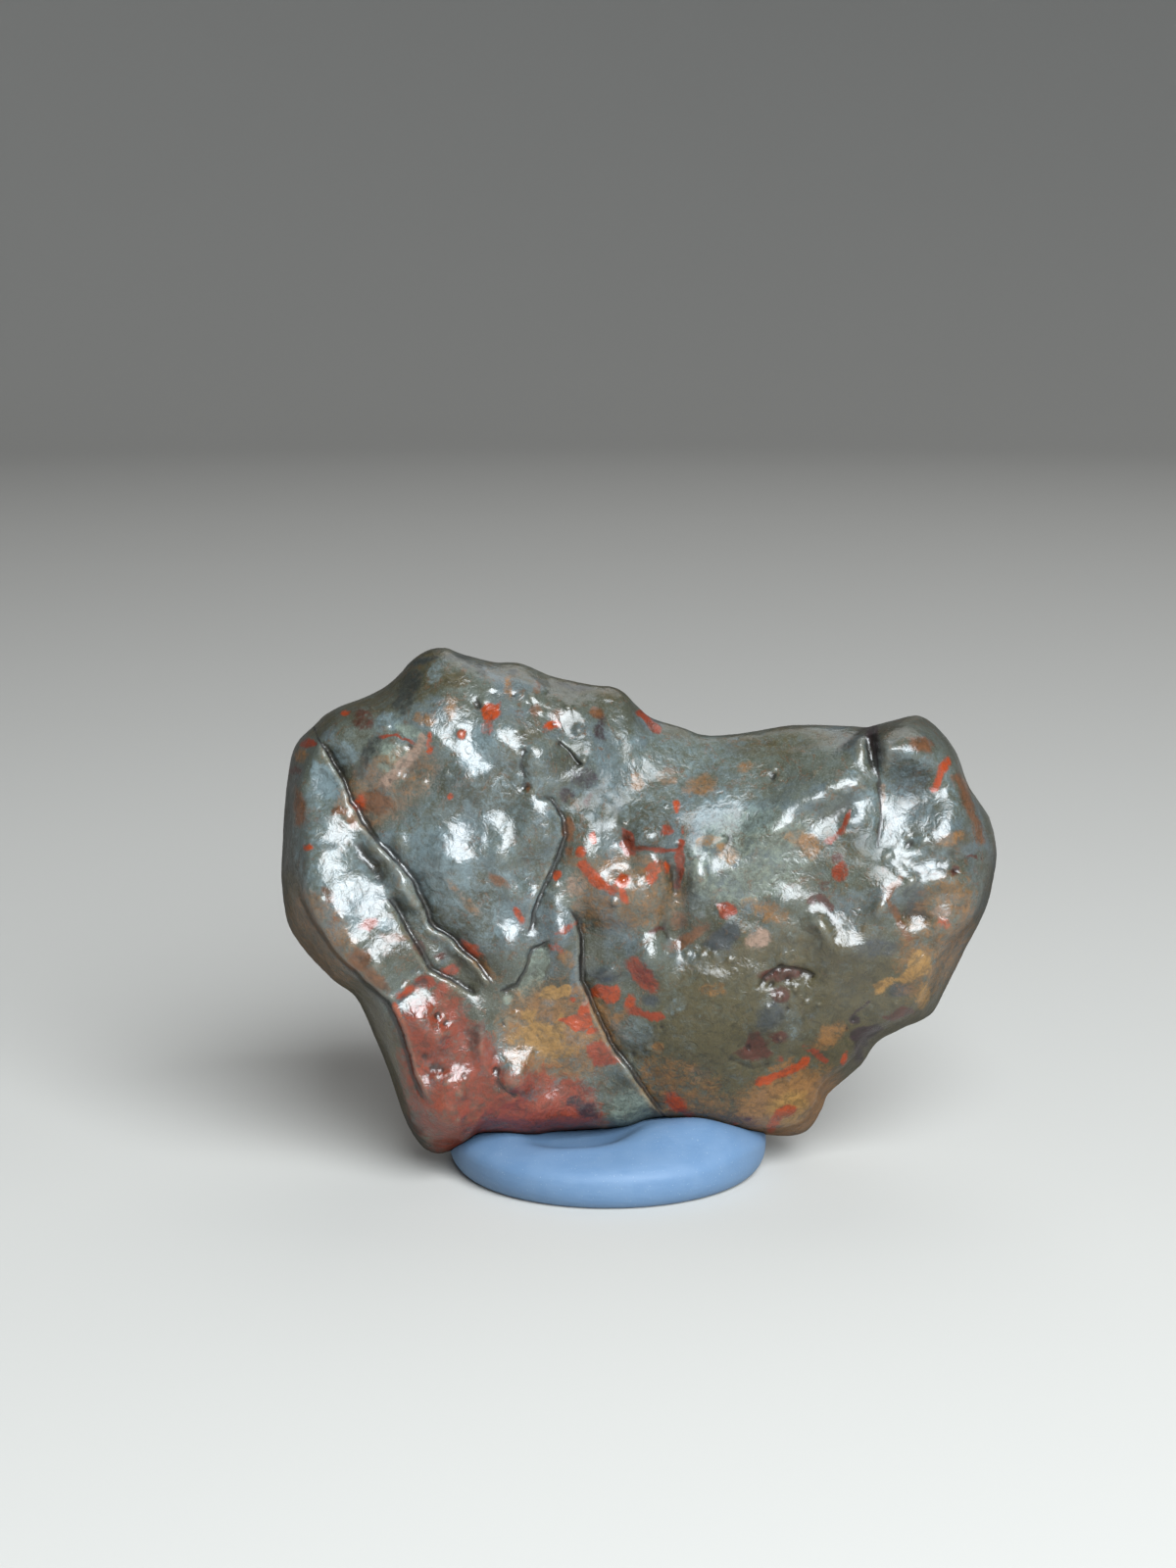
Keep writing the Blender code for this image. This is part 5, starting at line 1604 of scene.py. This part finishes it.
    def points(self, directions: Array) -> Array:
        """Turns the directions of a round ball's points into the stone's points.

        A direction's angle about Y picks the way out from the heart, and how far it leans
        towards the face or the back says how far inside the outline the point lies.

        Args:
            directions: one unit row for each point.

        Returns:
            The stone's points in millimetres.
        """
        every_angle, exact, even = self.outline_reach()
        angle = np.arctan2(directions[:, 2], directions[:, 0])
        towards_face = -directions[:, 1]
        pulled = self.face_pull ** 2 * (1.0 - towards_face)
        towards_face = (1.0 + towards_face - pulled) / (1.0 + towards_face + pulled)
        is_face = towards_face > 0.0
        lean = np.abs(towards_face)
        level = np.sqrt(np.maximum(1.0 - lean ** 2, 0.0))
        fullness = np.where(is_face, by_quarter(self.face_fullness, angle), self.back_fullness)
        size = (level ** fullness + lean ** fullness) ** (-1.0 / fullness)
        share_out = level * size
        depth = np.where(is_face, self.face_depth, self.back_depth) * lean * size
        exact_reach = np.interp(angle, every_angle, exact, period=2 * math.pi)
        even_reach = np.interp(angle, every_angle, even, period=2 * math.pi)
        near_rim = ease(*self.rim_band, share_out)
        reach = even_reach + (exact_reach - even_reach) * near_rim
        bumps = np.maximum(exact_reach - even_reach, 0.0)
        reach -= bumps * near_rim * ease(*self.bump_fade_depths, depth)
        signed_depth = np.where(is_face, -depth, depth)
        around = np.column_stack((reach * np.cos(angle), signed_depth, reach * np.sin(angle)))
        worn = self.side_wear_mean + self.side_wear_swing * wave(around, self.side_wear_length)
        reach -= by_quarter(self.side_wear, angle) * worn * near_rim * ease(*self.side_wear_depths, depth)
        x = self.heart[0] + share_out * reach * np.cos(angle)
        z = self.heart[1] + share_out * reach * np.sin(angle)
        depth *= np.where(is_face, 1.0 + sum(lump.rise(x, z) for lump in THINNED), 1.0)
        relief = self.relief(x, z, is_face) * ease(0.0, self.relief_edge, 1.0 - share_out)
        depth = np.maximum(depth + relief, self.least_depth_share * depth)
        thin = self.foot_thickness + (1.0 - self.foot_thickness) * ease(*self.foot_heights, z)
        depth *= np.where(is_face, thin, 1.0)

        on_plane = np.column_stack((x, np.full(len(x), self.outline_y), z))
        forward = units(np.array(self.sight) - on_plane)
        on_rim = on_plane + sum(bend.rise(x, z) for bend in RIM_BENDS)[:, None] * forward
        fall = self.back_fall * ease(*self.back_fall_heights, z)
        backward = units(np.column_stack((np.zeros(len(x)), np.ones(len(x)), -fall)))
        return on_rim + depth[:, None] * np.where(is_face[:, None], forward, backward)

    def sighted(self, points: Array) -> tuple[Array, Array, Array]:
        """Finds where the sight lines through points cross the outline's plane.

        Args:
            points: one row for each point.

        Returns:
            The x and z there, and how far each point stands before the rim.
        """
        eye = np.array(self.sight)
        way = points - eye
        share = (self.outline_y - eye[1]) / way[:, 1]
        x = eye[0] + way[:, 0] * share
        z = eye[2] + way[:, 2] * share
        rim_y = self.outline_y - sum(bend.rise(x, z) for bend in RIM_BENDS)
        return x, z, rim_y - points[:, 1]

    def color_points(self, item: bpy.types.Object) -> None:
        """Writes the stains, the cracks' ink, the dull places, and the hollows, low spots and sides that get
        painted shade, as attributes of the points.

        Args:
            item: the stone.
        """
        mesh = item.data
        points = corners(mesh)
        x, z, before = self.sighted(points)
        is_face = before > 0.0
        line_x, line_z = self.wandered(x, z, is_face)
        flat = self.spread(x, z, is_face)
        length, reach = self.stain_wander
        shift_x, shift_z = self.stain_shifts
        bent_x = line_x + reach * wave(flat + shift_x, length)
        bent_z = line_z + reach * wave(flat + shift_z, length)
        on_face = ease(*self.stain_rim, before)
        for number, (tint, marks) in enumerate(STAINS.items(), 1):
            apart = points + self.drift_shift * number
            drift = sum(share * wave(apart, length) for length, share in self.drifts)
            drift = np.clip(drift, 0.0, self.most_drift)
            write(mesh, tint.layer, covered(marks, bent_x, bent_z) * on_face + drift * (1.0 - on_face))
        # the low spots, which get painted shade
        write(mesh, "dip", -self.relief(x, z, is_face))
        # the turned-away sides, which get painted shade and a duller skin
        rim = self.flank_painted_shade(mesh, points)
        write(mesh, "rim", rim)
        write(mesh, "dull", np.maximum(rim, np.where(is_face, covered(DULLS, bent_x, bent_z), 0.0)))
        self.write_ink(mesh, line_x, line_z, is_face)
        # how deep each point lies in a hollow, for painted shade in hollows and a painted highlight on ridges
        write(mesh, "hollow", self.hollows(mesh, points))

    def flank_painted_shade(self, mesh: bpy.types.Mesh, points: Array) -> Array:
        """Tells the sides that turn away from the sight line, which are painted in shade and less polished,
        from the face, the back and the top.

        Args:
            mesh: the stone's mesh.
            points: its points in millimetres.

        Returns:
            1 on a side that faces sideways or down, about a half on top where less shade is painted, 0
            elsewhere.
        """
        normals = rows_of(mesh, "normal")
        facing = np.abs((units(np.array(self.sight) - points) * normals).sum(axis=1))
        # the top, where the light falls, gets less painted shade and is more polished
        polished = self.top_polish_and_light * ease(*self.top_slopes, normals[:, 2])
        return (1.0 - ease(*self.flank_facing, facing)) * (1.0 - polished)

    def write_ink(self, mesh: bpy.types.Mesh, x: Array, z: Array, is_face: Array) -> None:
        """Writes how far each point is from the nearest inked crack.

        The distance is signed and counted in widths of the dark line, so that it passes
        through nothing in the line's middle.

        Args:
            mesh: the stone's mesh.
            x: each point's bent x on the outline's plane.
            z: each point's bent z there.
            is_face: whether the point is on the face.
        """
        ink = np.full(len(x), self.no_ink)
        near = np.zeros(len(x))
        sides = ((is_face, FACE_CRACKS), (~is_face, BACK_CRACKS))
        for side, crack in ((side, crack) for side, cracks in sides for crack in cracks if crack.ink):
            distance, on_left, share = from_line(crack.points, x, z)
            signed = np.where(on_left, distance, -distance) / crack.ink
            closer = side & (np.abs(signed) < np.abs(ink)) & (distance < self.ink_reach)
            ink = np.where(closer, signed, ink)
            fade = faded(self.ink_end_share, share) * (1.0 - ease(*self.ink_fade, distance))
            near = np.where(closer, fade, near)
        write(mesh, "ink", ink)
        write(mesh, "ink_near", near)

    def hollows(self, mesh: bpy.types.Mesh, points: Array) -> Array:
        """Measures how deep each point lies below the points round it.

        Args:
            mesh: the stone's mesh.
            points: its points in millimetres.

        Returns:
            The depth over the hollow unit, positive in a hollow and negative on a ridge.
        """
        edges = np.empty(len(mesh.edges) * 2, dtype=np.int32)
        mesh.edges.foreach_get("vertices", edges)
        start, end = edges.reshape(-1, 2).T
        count = np.bincount(edges, minlength=len(points))[:, None]
        even = points.copy()
        for _ in range(self.hollow_passes):
            total = np.empty_like(even)
            for axis in range(3):
                from_ends = np.bincount(start, even[end, axis], len(points))
                total[:, axis] = from_ends + np.bincount(end, even[start, axis], len(points))
            even = 0.5 * even + 0.5 * total / count
        return ((even - points) * rows_of(mesh, "normal")).sum(axis=1) / self.hollow_unit

    def build(self) -> bpy.types.Object:
        """Makes the stone in place of its solid.

        Returns:
            The finished stone.
        """
        ball = bmesh.new()
        level = self.ball_level
        bmesh.ops.create_icosphere(ball, subdivisions=level, radius=1.0)
        item = new_object(self.name, ball)
        directions = units(corners(item.data))
        item.data.vertices.foreach_set("co", (self.points(directions) * MM).astype(np.float32).ravel())
        item.data.update()
        if len(item.data.polygons) > self.triangles:
            thinned = item.modifiers.new("thinned", "DECIMATE")
            thinned.ratio = self.triangles / len(item.data.polygons)
            keep_evaluated(item)
        x, z, before = self.sighted(corners(item.data))
        write(item.data, "crust", np.where(before > 0.0, covered(CRUSTS, x, z), 0.0))
        SkinTree().press(item, self.finish.material())
        item.data.shade_smooth()
        self.color_points(item)
        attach(item, BODY)
        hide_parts("agate")
        return item


@dataclass
class PuttyPad:
    """The pad: a ball of putty pressed flat, squeezed down wherever the stone stands on it."""

    name: str = "pressed_putty"
    centre: Place = (-2.6, 0.0)
    radius: float = 13.75
    height: float = 5.0
    flat_radius: float = 12.4
    waist_height: float = 2.1
    fullness: float = 2.6
    top_rows: int = 70
    under_rows: int = 18
    turns: int = 280
    swell: float = 0.012
    swell_waves: float = 1.3
    uneven: float = 0.16
    uneven_length: float = 5.0
    uneven_level: float = 9.0
    seat_gap: float = 0.05
    least: float = 0.25
    lumps: tuple[Lump, ...] = each(
        Lump,
        (-5, -5.8, 4.8, 3.6, 0, -1.1, 2.5), (-5, -10.2, 5, 1.2, 0, 0.15), (4.4, -6.8, 5.4, 3, 15, 1.2),
    )
    finish: PuttyFinish = field(default_factory=PuttyFinish)

    def rows(self) -> list[Place]:
        """Works out the rings.

        Returns:
            Radius and height of each, from the middle of the top to the underside.
        """
        top_rise = self.height - self.waist_height
        under_run = self.radius - self.flat_radius
        rows = []
        for row in range(self.top_rows + 1):
            turn = math.pi / 2 * (1.0 - row / self.top_rows)
            radius = self.radius * abs(math.cos(turn)) ** (2.0 / self.fullness)
            rows.append((radius, self.waist_height + top_rise * math.sin(turn) ** (2.0 / self.fullness)))
        for row in range(1, self.under_rows + 1):
            turn = math.pi / 2 * row / self.under_rows
            radius = self.flat_radius + under_run * math.cos(turn)
            rows.append((radius, self.waist_height * (1.0 - math.sin(turn))))
        return rows

    def seat(self, stone: BVHTree, x: float, y: float) -> float:
        """How high the putty may stand at a place so that it clears the stone above it."""
        hit = stone.ray_cast(Vector((x, y, -1.0)) * MM, Vector((0.0, 0.0, 1.0)))[0]
        return self.height if hit is None else max(hit.z / MM - self.seat_gap, self.least)

    def point(self, stone: BVHTree, radius: float, height: float, angle: float) -> Vector:
        """Places one point: on the round form, made uneven, dished and pressed down.

        Args:
            stone: the stone's surface.
            radius: the ring's radius.
            height: the ring's height.
            angle: the angle about the pad's middle.

        Returns:
            The point in metres.
        """
        way = Vector((math.cos(angle), math.sin(angle), 0.0))
        rise = float(ease(0.0, self.waist_height, height))
        reach = radius * (1.0 + self.swell * rise * noise.noise(way * self.swell_waves))
        x = self.centre[0] + reach * way.x
        y = self.centre[1] + reach * way.y
        if rise == 0.0:
            return Vector((x, y, 0.0)) * MM
        bump = noise.noise(Vector((x, y, self.uneven_level)) / self.uneven_length)
        top = height + rise * self.uneven * bump
        if height > self.waist_height:
            top += float(sum(lump.rise(x, y) for lump in self.lumps))
        return Vector((x, y, min(top, self.seat(stone, x, y)))) * MM

    def build(self, stone: bpy.types.Object) -> bpy.types.Object:
        """Makes the pad in place of its solid.

        Args:
            stone: the finished stone, which presses into it.

        Returns:
            The finished pad.
        """
        surface = BVHTree.FromObject(stone, bpy.context.evaluated_depsgraph_get())
        pad = bmesh.new()
        rings = []
        for radius, height in self.rows():
            ring = [self.point(surface, radius, height, angle) for angle in ring_angles(self.turns, radius)]
            rings.append([pad.verts.new(point) for point in ring])
        join_rings(pad, rings)
        pad.faces.new(reversed(rings[-1]))
        item = new_object(self.name, pad)
        x, y, z = corners(item.data).T
        # the depth of the dish, for the painted shade in it
        write(item.data, "dish", -self.lumps[0].rise(x, y) * (z > self.waist_height))
        item.data.materials.append(self.finish.material())
        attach(item, BODY)
        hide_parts("putty_pad")
        return item


@dataclass(frozen=True)
class SoftBox:
    """A soft box light. Angles are degrees: round from the face towards +X, and up."""

    name: str
    round_degrees: float
    up_degrees: float
    away: float
    width: float
    height: float
    watts: float
    color: Color = (1.0, 1.0, 1.0)

    def hang(self, focus: Vector) -> None:
        """Hangs the light, aimed at the object.

        Args:
            focus: the place that it is aimed at, in metres.
        """
        turn, rise = math.radians(self.round_degrees), math.radians(self.up_degrees)
        way = Vector((math.sin(turn) * math.cos(rise), -math.cos(turn) * math.cos(rise), math.sin(rise)))
        lamp = bpy.data.lights.new(self.name, "AREA")
        lamp.shape = "RECTANGLE"
        lamp.size, lamp.size_y = self.width, self.height
        lamp.energy = self.watts
        lamp.color = self.color
        holder = bpy.data.objects.new(self.name, lamp)
        holder.location = focus + way * self.away
        holder.rotation_euler = way.to_track_quat("Z", "Y").to_euler()
        bpy.context.collection.objects.link(holder)


@dataclass
class Studio:
    """The pale floor, the lights, the camera and the picture's tones, in metres."""

    floor_turns: int = 96
    sweep_start: float = 0.75
    sweep_radius: float = 0.6
    sweep_degrees: float = 65.0
    sweep_steps: int = 32
    focus: Triple = (0.0, -0.004, 0.024)
    boxes: tuple[SoftBox, ...] = (
        SoftBox("key_light", 20.0, 35.0, 0.60, 0.44, 0.44, 9.8, (0.89, 0.95, 1.0)),
        SoftBox("fill_light", -50.0, 20.0, 0.80, 0.40, 0.40, 0.15),
        SoftBox("back_light", 165.0, 55.0, 0.80, 0.60, 0.60, 1.6),
    )
    pitch_down_degrees: float = 11.0
    lens: float = 70.2
    near_clip: float = 0.01
    world: Color = (0.42, 0.44, 0.47)
    world_strength: float = 0.13

    def build_floor(self) -> None:
        """Lays a pale round floor that sweeps up all round the object."""
        profile = [(0.0, 0.0)]
        for step in range(self.sweep_steps + 1):
            turn = math.radians(self.sweep_degrees) * step / self.sweep_steps
            reach = self.sweep_start + self.sweep_radius * math.sin(turn)
            profile.append((reach, self.sweep_radius * (1.0 - math.cos(turn))))
        sheet = bmesh.new()
        rings = []
        for reach, height in profile:
            angles = ring_angles(self.floor_turns, reach)
            ring = [(reach * math.cos(angle), reach * math.sin(angle), height) for angle in angles]
            rings.append([sheet.verts.new(point) for point in ring])
        join_rings(sheet, rings)
        floor = new_object("studio_floor", sheet)
        floor.data.materials.append(FloorFinish().material())

    def build_world(self) -> None:
        """Sets an even pale grey world."""
        world = bpy.data.worlds.new("studio")
        world.use_nodes = True
        bench = Bench(world.node_tree)
        glow = bench.add("ShaderNodeBackground", None, {"Color": self.world, "Strength": self.world_strength})
        bench.add("ShaderNodeOutputWorld", None, {"Surface": glow})
        bpy.context.scene.world = world

    def build_camera(self, eye: Triple) -> None:
        """Sets the camera at the place that the stone is sighted from.

        Args:
            eye: the camera's place in millimetres.
        """
        lens = bpy.data.cameras.new("camera")
        lens.lens = self.lens
        lens.clip_start = self.near_clip
        holder = bpy.data.objects.new("camera", lens)
        holder.location = Vector(eye) * MM
        holder.rotation_euler = (math.radians(90.0 - self.pitch_down_degrees), 0.0, 0.0)
        bpy.context.collection.objects.link(holder)
        scene = bpy.context.scene
        scene.camera = holder
        scene.view_settings.view_transform = "Standard"
        scene.view_settings.look = "None"

    def build(self, eye: Triple) -> None:
        """Builds the whole studio round the object.

        Args:
            eye: the camera's place in millimetres.
        """
        self.build_camera(eye)
        self.build_floor()
        for box in self.boxes:
            box.hang(Vector(self.focus))
        self.build_world()


def report(item: bpy.types.Object) -> None:
    """Reports a finished piece."""
    sizes = " x ".join(f"{side / MM:.1f}" for side in item.dimensions)
    LOG.info("%s: %d faces, %s mm", item.name, len(item.data.polygons), sizes)


def main() -> None:
    """Builds the stone, the pad and the studio in order."""
    logging.basicConfig(level=logging.INFO, format="%(name)s %(message)s")
    stone = Stone()
    Studio().build(stone.sight)
    agate = stone.build()
    report(agate)
    report(PuttyPad().build(agate))


if __name__ == "__main__":
    main()
